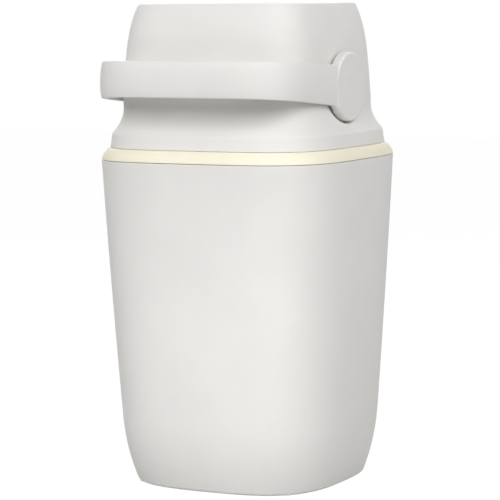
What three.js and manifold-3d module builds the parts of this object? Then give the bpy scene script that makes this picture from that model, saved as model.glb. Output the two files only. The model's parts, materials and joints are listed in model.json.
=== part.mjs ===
// Nappy bin with a tipping rotor: a nappy goes into the cup in the top, and swinging the handle from
// the front over to the back turns the cup upside down, so that a weighted piston pushes the nappy
// into the bag below.
// Millimetres, +Z up, front towards -Y, right towards +X, origin at the middle of the base on the floor.

import * as THREE from "three";
import { mergeVertices } from "three/addons/utils/BufferGeometryUtils.js";
import Module from "manifold-3d";

const wasm = await Module();
wasm.setup();

// General clearances and facet counts
const SEAT_GAP = 0.3;
const RUNNING_GAP = 0.3;
const PLAN_SEGMENTS = 40;
const ROUND_SEGMENTS = 28;
const BALL_STEPS = 10;
const BALL_SEGMENTS = 24;
const SMALL_SEGMENTS = 12;
const SCREW_SEGMENTS = 8;
const EDGE_STEPS = 2;
const CORNER_CROWDING = 0.5;
const OVERSHOOT = 1;

// Rotor, the ball with the cup through it
const ROTOR_RADIUS = 92;
const ROTOR_WALL = 3;
const ROTOR_FLANK = 24;
const CUP_RIM_WIDTH = 3.4;
const CUP_LIP_DEPTH = 3;
const CUP_LIP_REACH = 5;
const ROTOR_REST_TILT = THREE.MathUtils.degToRad(4.35);

// Shoulders and journals that carry the rotor, and the stops that end its swing
const SHOULDER_RADIUS = 24;
const JOURNAL_RADIUS = 16;
const JOURNAL_HOLLOW_RADIUS = 9;
const DRIVE_SIDE = 20;
const DRIVE_LENGTH = 6;
const STOP_TAB_REACH = 16;
const STOP_TAB_THICKNESS = 8;
const STOP_TAB_WIDTH = 9;
const STOP_TAB_SETBACK = 2.7;
const STOP_RIB_THICKNESS = 10;
const STOP_RIB_OVERHANG = 6;
const STOP_RIB_MARGIN = 2;

// Bearing bushes
const BUSH_WALL = 3.4;
const BUSH_FLANGE_REACH = 5;
const BUSH_FLANGE_THICKNESS = 2.7;

// Head housing
const HEAD_WALL = 3;
const HEAD_TOP_WALL = 3;
const TOWER_MARGIN = 26.3;
const TOWER_RISE = 1;
const TOWER_FOOT_DROP = 17;
const TOWER_DRAFT = 6;
const TOWER_SHOULDER = 9.5;
const TOWER_SHOULDER_POWER = 4.4;
const TOWER_EXPONENT = 5;
const TOP_EDGE_RADIUS = 2;
const NECK_FLARE = 16.1;
const NECK_POWER = 1.5;
const NECK_CREASE = 1.5;
const NECK_STEPS = 5;
const TOWER_STEPS = 2;
const TOWER_SHOULDER_STEPS = 5;
const HEAD_INNER_STEPS = 3;
const SKIRT_HEIGHT = 15.3;
const SKIRT_DRAFT = 1.9;
const SKIRT_EXPONENT = 3.8;
const BEARING_FLOOR = 4.5;
const POCKET_DEPTH = 2.8;
const POCKET_WALL = 3.5;
const POCKET_GAP = 2.5;

// Collar ring that holds the bag and carries the head
const COLLAR_HEIGHT = 13.4;
const COLLAR_SHOULDER_WIDTH = 8.4;
const COLLAR_SHOULDER_POWER = 1.43;
const COLLAR_SHOULDER_STEPS = 6;
const COLLAR_WALL = 3;
const COLLAR_SHELF_THICKNESS = 4;
const COLLAR_SHELF_WIDTH = 19;
const COLLAR_SKIRT_DEPTH = 15;
const COLLAR_SKIRT_TAPER = 1;
const BAG_GAP = 0.7;
const PARTING_GAP = 0.6;

// Bucket
const BUCKET_HEIGHT = 366.8;
const BUCKET_WALL = 3;
const BUCKET_FLOOR = 4;
const BUCKET_DRAFT = 16.5;
const BUCKET_BULGE = 0.6;
const BUCKET_FOOT_HEIGHT = 80;
const BUCKET_FOOT_INSET = 11.3;
const BUCKET_FOOT_POWER = 2.2;
const BUCKET_FOOT_EXPONENT = 3.08;
const BUCKET_EDGE_RADIUS = 3;
const BUCKET_FOOT_STEPS = 5;
const BUCKET_WALL_STEPS = 3;
const BASE_RECESS_DEPTH = 1.5;
const BASE_RING_WIDTH = 20;
const BASE_PAD_RADIUS = 26;

// Inlet ring above the rotor and outlet plate below it, each with a foam seal
const PLATE_THICKNESS = 3;
const OUTLET_GAP = 3.6;
const PLATE_EDGE_GAP = 0.5;
const SEAL_HOLDER_STEP = 4;
const SEAL_HOLDER_WALL = 3.4;
const SEAL_HEIGHT = 15.5;
const SEAL_WIDTH = 8.5;
const SEAL_LIP_GAP = 2.5;
const FUNNEL_MOUTH_INSET = 11;
const THROAT_GAP = 1.1;
const FUNNEL_WALL = 3;
const GASKET_THICKNESS = 2.2;
const GASKET_WIDTH = 10;
const GASKET_INSET = 5;

// Screws, posts and ears
const SCREW_RADIUS = 1.6;
const SCREW_HEAD_RADIUS = 3.6;
const SCREW_HEAD_HEIGHT = 2.4;
const SCREW_LENGTH = 14;
const POST_RADIUS = 5.5;
const RIB_THICKNESS = 2.6;
const RIB_FOOT_RISE = 12;
const EAR_REACH = 10;
const OUTLET_SCREW_GAP = 1.1;
const OUTLET_POST_HEIGHT = 62;
const EAR_RADIUS = 8;
const ROTOR_SCREW_Z = 16;
const ROTOR_POST_RADIUS = 6.5;
const ROTOR_SCREW_SEAT = 12;
const ROTOR_SCREW_LENGTH = 22;

// Handle
const FINGER_GAP = 39.7;
const HANDLE_THICKNESS = 7;
const HANDLE_SIDE_GAP = 1.4;
const HANDLE_EXPONENT = 4.9;
const HANDLE_FRONT_HEIGHT = 39.6;
const HANDLE_ROOT_HEIGHT = 46.4;
const HANDLE_CROWN = 1.5;
const HANDLE_EDGE = 2;
const HANDLE_FILLET = 3;
const HANDLE_FILLET_LENGTH = 22;
const HANDLE_STATIONS = 32;
const HUB_RADIUS = 38.5;
const HUB_GAP = 3;
const HUB_THICKNESS = 10.5;
const HUB_EDGE_RADIUS = 2.5;
const HUB_EDGE_STEPS = 3;

// Piston
const PISTON_THICKNESS = 30;
const PISTON_SIDE_GAP = 2;
const PISTON_WALL = 2.5;
const WIPER_HEIGHT = 6;
const WIPER_DEPTH = 5;
const WIPER_BEVEL = 1;
const PISTON_POST_GAP = 1.5;
const WEIGHT_GAP = 3.5;
const WEIGHT_THICKNESS = 8;
const WEIGHT_PAD_INSET = 23;
const PISTON_SCREWS = 3;

// Rear hinge of the head
const KNUCKLE_RADIUS = 4.5;
const KNUCKLE_SIDE_GAP = 0.7;
const KNUCKLE_FOOT_GAP = 0.8;
const KNUCKLE_WEB_INSET = 0.8;
const HINGE_PIN_RADIUS = 1.8;
const HEAD_KNUCKLE_WIDTH = 48;
const COLLAR_KNUCKLE_WIDTH = 21;

// Radii that follow from the ball and its cup
const CUP_RADIUS = ROTOR_RADIUS - ROTOR_FLANK;
const CUP_HALF_LENGTH = Math.sqrt(ROTOR_RADIUS ** 2 - (CUP_RADIUS + CUP_RIM_WIDTH) ** 2);
const ROTOR_SCREW_Y = CUP_RADIUS + ROTOR_FLANK / 2;
const SEAL_DROP = CUP_HALF_LENGTH + SEAL_LIP_GAP;
const SEAL_HOLDER_RADIUS = ROTOR_RADIUS - SEAL_HOLDER_STEP;
const INLET_SCREW_CIRCLE = SEAL_HOLDER_RADIUS + EAR_REACH;
const FUNNEL_MOUTH_RADIUS = ROTOR_RADIUS - FUNNEL_MOUTH_INSET;
const FUNNEL_THROAT_RADIUS = Math.sqrt((ROTOR_RADIUS + THROAT_GAP) ** 2 - (SEAL_DROP + SEAT_GAP) ** 2);
const PLATE_HOLE_RADIUS = Math.sqrt((ROTOR_RADIUS + OUTLET_GAP) ** 2 - SEAL_DROP ** 2);
const PISTON_RADIUS = CUP_RADIUS - PISTON_SIDE_GAP;
const PISTON_SCREW_CIRCLE = PISTON_RADIUS - WIPER_DEPTH - PISTON_POST_GAP - POST_RADIUS;
const WEIGHT_RADIUS = PISTON_SCREW_CIRCLE - POST_RADIUS - WEIGHT_GAP;
const WEIGHT_PAD_RADIUS = WEIGHT_RADIUS - WEIGHT_PAD_INSET;

// Heights that follow from the bucket upwards
const HEAD_FOOT_Z = BUCKET_HEIGHT + PARTING_GAP + COLLAR_HEIGHT;
const NECK_FOOT_Z = HEAD_FOOT_Z + SKIRT_HEIGHT;
const PLATE_BOTTOM_Z = HEAD_FOOT_Z + GASKET_THICKNESS + SEAT_GAP;
const PLATE_TOP_Z = PLATE_BOTTOM_Z + PLATE_THICKNESS;
const PIVOT_Z = PLATE_TOP_Z + SEAT_GAP + SEAL_DROP;
const TOWER_FOOT_Z = PIVOT_Z - TOWER_FOOT_DROP;
const NECK_HEIGHT = TOWER_FOOT_Z - NECK_FOOT_Z;
const TOP_Z = PIVOT_Z + ROTOR_RADIUS + TOWER_RISE;

// Half widths that follow from the ball outwards
const TOWER_HALF = ROTOR_RADIUS + TOWER_MARGIN;
const NECK_HALF = TOWER_HALF + NECK_FLARE;
const SKIRT_HALF = NECK_HALF + SKIRT_DRAFT;
const RIM_HALF = SKIRT_HALF + SEAT_GAP + COLLAR_SHOULDER_WIDTH;
const SHELF_HALF = SKIRT_HALF + SEAT_GAP - COLLAR_SHELF_WIDTH;
const OUTLET_SCREW_OFFSET = SHELF_HALF / 2 ** (1 / SKIRT_EXPONENT) - SCREW_HEAD_RADIUS - OUTLET_SCREW_GAP;
const POCKET_FLOOR_X = TOWER_HALF - POCKET_DEPTH;
const BOSS_FACE_X = POCKET_FLOOR_X - BEARING_FLOOR;
const SHOULDER_FACE_X = BOSS_FACE_X - BUSH_FLANGE_THICKNESS - 2 * SEAT_GAP;
const JOURNAL_END_X = POCKET_FLOOR_X + HUB_GAP - SEAT_GAP;
const HUB_INNER_X = POCKET_FLOOR_X + HUB_GAP;
const HUB_OUTER_X = HUB_INNER_X + HUB_THICKNESS;
const BUSH_BORE_RADIUS = JOURNAL_RADIUS + RUNNING_GAP;
const BUSH_OUTER_RADIUS = BUSH_BORE_RADIUS + BUSH_WALL;
const POCKET_RADIUS = HUB_RADIUS + POCKET_GAP;
const SIDES = { left: -1, right: 1 };

// Finishes
const plastic = (color, roughness) => new THREE.MeshStandardMaterial({ color, roughness, metalness: 0 });
const FINISH = {
  shell: () => plastic(0xe8e5df, 0.5),
  cream: () => plastic(0xf5eed8, 0.55),
  inner: () => plastic(0xdedbd4, 0.55),
  bearing: () => plastic(0xf2f1ec, 0.35),
  foam: () => plastic(0x55565a, 0.95),
  rubber: () => plastic(0x3c3d40, 0.85),
  steel: () => new THREE.MeshStandardMaterial({ color: 0xa9abae, roughness: 0.35, metalness: 1 }),
};

// Solids from closed geometries

function signedVolume(positions, index) {
  const corners = [new THREE.Vector3(), new THREE.Vector3(), new THREE.Vector3()];
  let volume = 0;
  for (let i = 0; i < index.length; i += 3) {
    corners.forEach((corner, k) => corner.fromArray(positions, index[i + k] * 3));
    volume += corners[0].dot(corners[1].clone().cross(corners[2])) / 6;
  }
  return volume;
}

function solidOf(geometry) {
  const bare = new THREE.BufferGeometry();
  const source = geometry.index ? geometry.toNonIndexed() : geometry;
  bare.setAttribute("position", source.getAttribute("position"));
  const merged = mergeVertices(bare, 1e-3);
  const positions = merged.attributes.position.array;
  const triVerts = new Uint32Array(merged.index.array);
  if (signedVolume(positions, triVerts) < 0) triVerts.reverse();
  return new wasm.Manifold(new wasm.Mesh({ numProp: 3, vertProperties: positions, triVerts }));
}

function geometryOf(solid) {
  const mesh = solid.getMesh();
  const count = mesh.vertProperties.length / mesh.numProp;
  const positions = new Float32Array(count * 3);
  for (let i = 0; i < count; i += 1) {
    positions.set(mesh.vertProperties.subarray(i * mesh.numProp, i * mesh.numProp + 3), i * 3);
  }
  const geometry = new THREE.BufferGeometry();
  geometry.setAttribute("position", new THREE.BufferAttribute(positions, 3));
  geometry.setIndex(new THREE.BufferAttribute(new Uint32Array(mesh.triVerts), 1));
  geometry.computeVertexNormals();
  return geometry;
}

const union = (solids) => solids.reduce((whole, next) => whole.add(next));
const without = (solid, cuts) => cuts.reduce((whole, cut) => whole.subtract(cut), solid);

// The geometry's Y axis is laid along the named axis.
function turnedTo(geometry, axis) {
  if (axis === "x") return geometry.rotateZ(-Math.PI / 2);
  if (axis === "z") return geometry.rotateX(Math.PI / 2);
  return geometry;
}

// A cylinder along an axis from one height to another, its axis through the point given.
function rod(axis, radius, from, to, { at = [0, 0, 0], segments = ROUND_SEGMENTS } = {}) {
  const geometry = new THREE.CylinderGeometry(radius, radius, Math.abs(to - from), segments);
  turnedTo(geometry, axis);
  const centre = new THREE.Vector3(...at);
  centre[axis] += (from + to) / 2;
  return solidOf(geometry.translate(centre.x, centre.y, centre.z));
}

function block([x0, y0, z0], [x1, y1, z1]) {
  const geometry = new THREE.BoxGeometry(Math.abs(x1 - x0), Math.abs(y1 - y0), Math.abs(z1 - z0));
  return solidOf(geometry.translate((x0 + x1) / 2, (y0 + y1) / 2, (z0 + z1) / 2));
}

// A turned solid about an axis. The profile lists [radius, height along the axis] and closes on itself.
function turned(axis, profile, { closed = false, segments = ROUND_SEGMENTS, at = [0, 0, 0] } = {}) {
  const points = profile.map(([radius, height]) => new THREE.Vector2(radius, height));
  if (closed) points.push(points[0].clone());
  const geometry = turnedTo(new THREE.LatheGeometry(points, segments), axis);
  return solidOf(geometry.translate(...at));
}

const slimRod = (axis, radius, from, to, at) => rod(axis, radius, from, to, { at, segments: SMALL_SEGMENTS });

const screwHole = ([x, y], from, to) =>
  rod("z", SCREW_RADIUS + RUNNING_GAP, from, to, { at: [x, y, 0], segments: SCREW_SEGMENTS });

function mirroredX(solid) {
  return solidOf(geometryOf(solid).scale(-1, 1, 1));
}

// The rounded square plan that every shell shares, as points of a superellipse crowded towards its corners.
function planPoint(turn, half, exponent) {
  const angle = turn + (CORNER_CROWDING * Math.sin(4 * turn)) / 4;
  const [c, s] = [Math.cos(angle), Math.sin(angle)];
  const reach = half / (Math.abs(c) ** exponent + Math.abs(s) ** exponent) ** (1 / exponent);
  return [reach * c, reach * s];
}

function planRing({ z, half, exponent }) {
  return Array.from({ length: PLAN_SEGMENTS }, (_, i) => {
    const [x, y] = planPoint((2 * Math.PI * i) / PLAN_SEGMENTS, half, exponent);
    return new THREE.Vector3(x, y, z);
  });
}

// A solid through rings of equal count. Open runs get flat ends, closed runs come back to the first ring.
function loft(rings, closedRun = false) {
  const count = rings[0].length;
  const positions = [];
  const face = (a, b, c) => positions.push(...a.toArray(), ...b.toArray(), ...c.toArray());
  const runs = closedRun ? rings.length : rings.length - 1;
  for (let r = 0; r < runs; r += 1) {
    const low = rings[r];
    const high = rings[(r + 1) % rings.length];
    for (let i = 0; i < count; i += 1) {
      const j = (i + 1) % count;
      face(low[i], low[j], high[j]);
      face(low[i], high[j], high[i]);
    }
  }
  const capEnd = (ring, flip) => {
    const middle = ring.reduce((sum, p) => sum.add(p), new THREE.Vector3()).divideScalar(count);
    ring.forEach((p, i) => {
      const q = ring[(i + 1) % count];
      if (flip) face(middle, q, p);
      else face(middle, p, q);
    });
  };
  if (!closedRun) {
    capEnd(rings[0], true);
    capEnd(rings.at(-1), false);
  }
  const geometry = new THREE.BufferGeometry();
  geometry.setAttribute("position", new THREE.Float32BufferAttribute(positions, 3));
  return solidOf(geometry);
}

const planLoft = (levels, closedRun = false) => loft(levels.map(planRing), closedRun);

// Outlines of the shells: half width and plan exponent at each height

function bucketOutline(z) {
  const up = z / BUCKET_HEIGHT;
  const inFoot = Math.max(0, 1 - z / BUCKET_FOOT_HEIGHT);
  const overFoot = Math.max(0, (z - BUCKET_FOOT_HEIGHT) / (BUCKET_HEIGHT - BUCKET_FOOT_HEIGHT));
  const half =
    RIM_HALF -
    BUCKET_DRAFT * (1 - up) -
    BUCKET_FOOT_INSET * inFoot ** BUCKET_FOOT_POWER +
    4 * BUCKET_BULGE * overFoot * (1 - overFoot);
  return { z, half, exponent: THREE.MathUtils.lerp(BUCKET_FOOT_EXPONENT, SKIRT_EXPONENT, up) };
}

function headHalf(z) {
  if (z <= NECK_FOOT_Z) return SKIRT_HALF - (SKIRT_DRAFT * (z - HEAD_FOOT_Z)) / SKIRT_HEIGHT;
  if (z <= TOWER_FOOT_Z) return TOWER_HALF + NECK_FLARE * ((TOWER_FOOT_Z - z) / NECK_HEIGHT) ** NECK_POWER;
  const up = (z - TOWER_FOOT_Z) / (TOP_Z - TOWER_FOOT_Z);
  return TOWER_HALF - TOWER_DRAFT * up - TOWER_SHOULDER * up ** TOWER_SHOULDER_POWER;
}

function headOutline(z) {
  const blend = THREE.MathUtils.clamp((z - NECK_FOOT_Z) / NECK_HEIGHT, 0, 1);
  return { z, half: headHalf(z), exponent: THREE.MathUtils.lerp(SKIRT_EXPONENT, TOWER_EXPONENT, blend) };
}

const inset = (level, distance) => ({ ...level, half: level.half - distance });
const steps = (from, to, count) =>
  Array.from({ length: count + 1 }, (_, i) => from + ((to - from) * i) / count);

// A quarter round from the lower side of an edge inwards to its face, as [inset, height] pairs.
const quarterRound = (radius, count) =>
  steps(0, Math.PI / 2, count).map((a) => [radius * (1 - Math.cos(a)), radius * Math.sin(a)]);

// Bucket

function makeBucketShell() {
  const edge = quarterRound(BUCKET_EDGE_RADIUS, EDGE_STEPS).map(([inwards, up]) => ({
    ...inset(bucketOutline(BUCKET_EDGE_RADIUS - up), inwards),
    z: BUCKET_EDGE_RADIUS - up,
  }));
  const foot = steps(BUCKET_EDGE_RADIUS, BUCKET_FOOT_HEIGHT, BUCKET_FOOT_STEPS).slice(1);
  const wall = steps(BUCKET_FOOT_HEIGHT, BUCKET_HEIGHT, BUCKET_WALL_STEPS).slice(1);
  const outside = planLoft([...edge.reverse(), ...[...foot, ...wall].map(bucketOutline)]);
  const cavityHeights = [
    ...steps(BUCKET_FLOOR, BUCKET_FOOT_HEIGHT, BUCKET_WALL_STEPS),
    ...wall,
  ];
  const cavity = cavityHeights.map((z) => inset(bucketOutline(z), BUCKET_WALL));
  cavity.push({ ...cavity.at(-1), z: BUCKET_HEIGHT + OVERSHOOT });
  const baseLevel = inset(bucketOutline(0), BUCKET_EDGE_RADIUS + BASE_RING_WIDTH);
  const recess = planLoft([{ ...baseLevel, z: -OVERSHOOT }, { ...baseLevel, z: BASE_RECESS_DEPTH }]);
  const pad = rod("z", BASE_PAD_RADIUS, 0, BASE_RECESS_DEPTH + OVERSHOOT);
  return without(outside, [planLoft(cavity), recess]).add(pad);
}

// Collar ring

function hingePoint() {
  return {
    y: SKIRT_HALF + KNUCKLE_RADIUS + KNUCKLE_SIDE_GAP,
    z: HEAD_FOOT_Z + KNUCKLE_RADIUS + KNUCKLE_FOOT_GAP,
  };
}

function collarSection() {
  const foot = BUCKET_HEIGHT + PARTING_GAP;
  const shelfTop = HEAD_FOOT_Z - SEAT_GAP;
  const rise = shelfTop - foot;
  const shoulder = steps(0, Math.PI / 2, COLLAR_SHOULDER_STEPS).map((a) => {
    const bend = 2 / COLLAR_SHOULDER_POWER;
    return { out: COLLAR_SHOULDER_WIDTH * Math.cos(a) ** bend, z: foot + rise * Math.sin(a) ** bend };
  });
  const shelfOuter = RIM_HALF - COLLAR_SHOULDER_WIDTH;
  const skirtOuter = RIM_HALF - BUCKET_WALL - BAG_GAP;
  const skirtInner = skirtOuter - COLLAR_WALL;
  const points = [
    ...shoulder.map(({ out, z }) => [shelfOuter + out, z]),
    [SHELF_HALF, shelfTop],
    [SHELF_HALF, shelfTop - COLLAR_SHELF_THICKNESS],
    [skirtInner, shelfTop - COLLAR_SHELF_THICKNESS],
    [skirtInner - COLLAR_SKIRT_TAPER, foot - COLLAR_SKIRT_DEPTH],
    [skirtOuter - COLLAR_SKIRT_TAPER, foot - COLLAR_SKIRT_DEPTH],
    [skirtOuter, foot],
  ];
  return points.map(([half, z]) => ({ half, z, exponent: SKIRT_EXPONENT }));
}

function makeCollarRing() {
  const { y, z } = hingePoint();
  const inner = HEAD_KNUCKLE_WIDTH / 2 + RUNNING_GAP;
  const outer = inner + COLLAR_KNUCKLE_WIDTH;
  const footZ = BUCKET_HEIGHT + PARTING_GAP + COLLAR_HEIGHT / 2;
  const knuckles = Object.values(SIDES).flatMap((side) => [
    slimRod("x", KNUCKLE_RADIUS, side * inner, side * outer, [0, y, z]),
    block([side * inner, SKIRT_HALF + SEAT_GAP, footZ], [side * outer, y + KNUCKLE_RADIUS / 2, z]),
  ]);
  const ring = union([planLoft(collarSection(), true), ...knuckles]);
  const holeEnd = outer + OVERSHOOT;
  const pinHole = slimRod("x", HINGE_PIN_RADIUS + RUNNING_GAP, -holeEnd, holeEnd, [0, y, z]);
  const skirtRoom = planLoft([
    inset(headOutline(HEAD_FOOT_Z - SEAT_GAP), -SEAT_GAP),
    inset(headOutline(z + KNUCKLE_RADIUS + OVERSHOOT), -SEAT_GAP),
  ]);
  return without(ring, [pinHole, skirtRoom]);
}

function makeHingePin() {
  const { y, z } = hingePoint();
  const end = HEAD_KNUCKLE_WIDTH / 2 + RUNNING_GAP + COLLAR_KNUCKLE_WIDTH;
  return slimRod("x", HINGE_PIN_RADIUS, -end, end, [0, y, z]);
}

// Head housing

function headFaceZ() {
  const towerMiddle = (TOWER_FOOT_Z + TOP_Z) / 2;
  return [
    ...steps(HEAD_FOOT_Z, NECK_FOOT_Z - NECK_CREASE, 1),
    ...steps(NECK_FOOT_Z + NECK_CREASE, TOWER_FOOT_Z, NECK_STEPS),
    ...steps(TOWER_FOOT_Z, towerMiddle, TOWER_STEPS).slice(1),
    ...steps(towerMiddle, TOP_Z - TOP_EDGE_RADIUS, TOWER_SHOULDER_STEPS).slice(1),
  ];
}

function headOutside() {
  const edge = quarterRound(TOP_EDGE_RADIUS, EDGE_STEPS)
    .slice(1)
    .map(([inwards, up]) => ({
      ...inset(headOutline(TOP_Z - TOP_EDGE_RADIUS + up), inwards),
      z: TOP_Z - TOP_EDGE_RADIUS + up,
    }));
  return planLoft([...headFaceZ().map(headOutline), ...edge]);
}

function headInside() {
  const ceiling = TOP_Z - HEAD_TOP_WALL;
  const heights = [
    ...steps(HEAD_FOOT_Z, NECK_FOOT_Z, 1),
    ...steps(NECK_FOOT_Z, TOWER_FOOT_Z, HEAD_INNER_STEPS).slice(1),
    ...steps(TOWER_FOOT_Z, ceiling, HEAD_INNER_STEPS + 1).slice(1),
  ];
  const levels = heights.map((z) => inset(headOutline(z), HEAD_WALL));
  return planLoft([{ ...levels[0], z: HEAD_FOOT_Z - OVERSHOOT }, ...levels]);
}

// A block beside a radius from the pivot, square to it: the shape of the stop tabs and of the ribs they meet.
function stopBlock({ x, reach, across, turn }) {
  const geometry = new THREE.BoxGeometry(
    Math.abs(x[1] - x[0]),
    reach[1] - reach[0],
    across[1] - across[0],
  );
  geometry.translate((x[0] + x[1]) / 2, -(reach[0] + reach[1]) / 2, (across[0] + across[1]) / 2);
  return solidOf(geometry.rotateX(turn));
}

// The two ribs that the rotor's tab comes down on, at the front and at the back.
function stopRibs(side) {
  const tabEnd = SHOULDER_FACE_X - STOP_TAB_SETBACK;
  const x = [side * (tabEnd - STOP_RIB_OVERHANG), side * (BOSS_FACE_X + OVERSHOOT)];
  const top = -STOP_TAB_THICKNESS / 2 - SEAT_GAP;
  const reach = [SHOULDER_RADIUS + 2 * SEAT_GAP, SHOULDER_RADIUS + STOP_TAB_REACH + STOP_RIB_MARGIN];
  const front = stopBlock({ x, reach, across: [top - STOP_RIB_THICKNESS, top], turn: -ROTOR_REST_TILT });
  const back = solidOf(geometryOf(front).scale(1, -1, 1));
  return [front, back].map((rib) => solidOf(geometryOf(rib).translate(0, 0, PIVOT_Z)));
}

const fourCorners = (place) => [[-place, -place], [place, -place], [place, place], [-place, place]];
const inletScrewPlaces = () => fourCorners(INLET_SCREW_CIRCLE * Math.SQRT1_2);
const outletScrewPlaces = () => fourCorners(OUTLET_SCREW_OFFSET);

const inletFlangeBottom = () => PIVOT_Z + SEAL_DROP + SEAT_GAP;
const inletFlangeTop = () => inletFlangeBottom() + PLATE_THICKNESS;

// A post for an outlet screw with the rib that ties it to the corner of the shell.
function outletPost([x, y]) {
  const foot = PLATE_TOP_Z + SEAT_GAP;
  const post = slimRod("z", POST_RADIUS, foot, foot + OUTLET_POST_HEIGHT, [x, y, 0]);
  const corner = Math.hypot(x, y);
  const rib = new THREE.BoxGeometry(NECK_HALF, RIB_THICKNESS, OUTLET_POST_HEIGHT - RIB_FOOT_RISE);
  rib.translate(corner + NECK_HALF / 2, 0, foot + (OUTLET_POST_HEIGHT + RIB_FOOT_RISE) / 2);
  rib.rotateZ(Math.atan2(y, x));
  return [post, solidOf(rib)];
}

function makeHeadHousing() {
  const outside = headOutside();
  const shell = outside.subtract(headInside());
  const at = [0, 0, PIVOT_Z];
  const inletPosts = inletScrewPlaces().map(([x, y]) =>
    slimRod("z", POST_RADIUS, inletFlangeTop() + SEAT_GAP, TOP_Z - HEAD_TOP_WALL / 2, [x, y, 0]),
  );
  const bearings = Object.values(SIDES).map((side) =>
    rod("x", POCKET_RADIUS + POCKET_WALL, side * BOSS_FACE_X, side * RIM_HALF, { at }),
  );
  const ribs = Object.values(SIDES).flatMap(stopRibs);
  const fittings = union([...inletPosts, ...outletScrewPlaces().flatMap(outletPost), ...bearings, ...ribs]);
  const { y, z } = hingePoint();
  const knuckleHalf = HEAD_KNUCKLE_WIDTH / 2;
  const knuckle = slimRod("x", KNUCKLE_RADIUS, -knuckleHalf, knuckleHalf, [0, y, z]);
  const knuckleWeb = block(
    [-knuckleHalf, SKIRT_HALF - HEAD_WALL, z - KNUCKLE_RADIUS + KNUCKLE_WEB_INSET],
    [knuckleHalf, y, z + KNUCKLE_RADIUS - KNUCKLE_WEB_INSET],
  );
  const whole = union([shell, fittings.intersect(outside), knuckle, knuckleWeb]);
  const inletHoleFoot = inletFlangeTop();
  const outletHoleTop = PLATE_BOTTOM_Z + SCREW_LENGTH + OVERSHOOT;
  const screwHoles = [
    ...inletScrewPlaces().map((xy) => screwHole(xy, inletHoleFoot, inletHoleFoot + SCREW_LENGTH)),
    ...outletScrewPlaces().map((xy) => screwHole(xy, PLATE_BOTTOM_Z, outletHoleTop)),
  ];
  const pockets = Object.values(SIDES).flatMap((side) => [
    rod("x", POCKET_RADIUS, side * POCKET_FLOOR_X, side * (RIM_HALF + OVERSHOOT), { at }),
    rod("x", BUSH_OUTER_RADIUS + SEAT_GAP, side * (BOSS_FACE_X - OVERSHOOT), side * RIM_HALF, { at }),
  ]);
  const ceiling = TOP_Z - HEAD_TOP_WALL - OVERSHOOT;
  const mouth = rod("z", FUNNEL_MOUTH_RADIUS + FUNNEL_WALL + SEAT_GAP, ceiling, TOP_Z + OVERSHOOT);
  const holeEnd = knuckleHalf + OVERSHOOT;
  const pinHole = slimRod("x", HINGE_PIN_RADIUS + RUNNING_GAP, -holeEnd, holeEnd, [0, y, z]);
  return without(whole, [...screwHoles, ...pockets, mouth, pinHole]);
}

// Seals, gasket, inlet ring and outlet plate

// A foam ring whose inner face follows the rotor. The drop is from the pivot to the ring's far face.
// The ball's reach is widened so that the flats of the ring, not its corners, keep the running gap.
function sealProfile(far, sign) {
  const outer = SEAL_HOLDER_RADIUS - SEAL_HOLDER_WALL - SEAT_GAP;
  const ball = (ROTOR_RADIUS + RUNNING_GAP) / Math.cos(Math.PI / ROUND_SEGMENTS);
  const reachAt = (drop) => Math.sqrt(Math.max(0, ball ** 2 - drop ** 2));
  const near = far - SEAL_HEIGHT;
  const contact = steps(far - SEAL_HEIGHT / 2, near, 2).map((drop) => [reachAt(drop), sign * drop]);
  return [[outer, sign * near], [outer, sign * far], [outer - SEAL_WIDTH, sign * far], ...contact].map(
    ([radius, height]) => [radius, PIVOT_Z + height],
  );
}

const makeUpperSeal = () => turned("z", sealProfile(SEAL_DROP, 1), { closed: true });
const makeLowerSeal = () => turned("z", sealProfile(SEAL_DROP, -1), { closed: true });

function makeInletRing() {
  const low = inletFlangeBottom();
  const high = inletFlangeTop();
  const brim = TOP_Z - SEAT_GAP;
  const profile = [
    [FUNNEL_MOUTH_RADIUS, brim],
    [FUNNEL_MOUTH_RADIUS + FUNNEL_WALL, brim],
    [FUNNEL_MOUTH_RADIUS + FUNNEL_WALL, brim - HEAD_TOP_WALL],
    [FUNNEL_THROAT_RADIUS + FUNNEL_WALL, high],
    [SEAL_HOLDER_RADIUS, high],
    [SEAL_HOLDER_RADIUS, low - SEAL_HEIGHT],
    [SEAL_HOLDER_RADIUS - SEAL_HOLDER_WALL, low - SEAL_HEIGHT],
    [SEAL_HOLDER_RADIUS - SEAL_HOLDER_WALL, low],
    [FUNNEL_THROAT_RADIUS, low],
    [FUNNEL_THROAT_RADIUS, high],
  ];
  const ears = inletScrewPlaces().flatMap(([x, y]) => {
    const root = SEAL_HOLDER_RADIUS - SEAL_HOLDER_WALL;
    const arm = new THREE.BoxGeometry(INLET_SCREW_CIRCLE - root, 2 * EAR_RADIUS, PLATE_THICKNESS);
    arm.translate((INLET_SCREW_CIRCLE + root) / 2, 0, (low + high) / 2);
    arm.rotateZ(Math.atan2(y, x));
    return [solidOf(arm), slimRod("z", EAR_RADIUS, low, high, [x, y, 0])];
  });
  const holes = inletScrewPlaces().map((xy) => screwHole(xy, low - OVERSHOOT, high + OVERSHOOT));
  return without(union([turned("z", profile, { closed: true }), ...ears]), holes);
}

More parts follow.
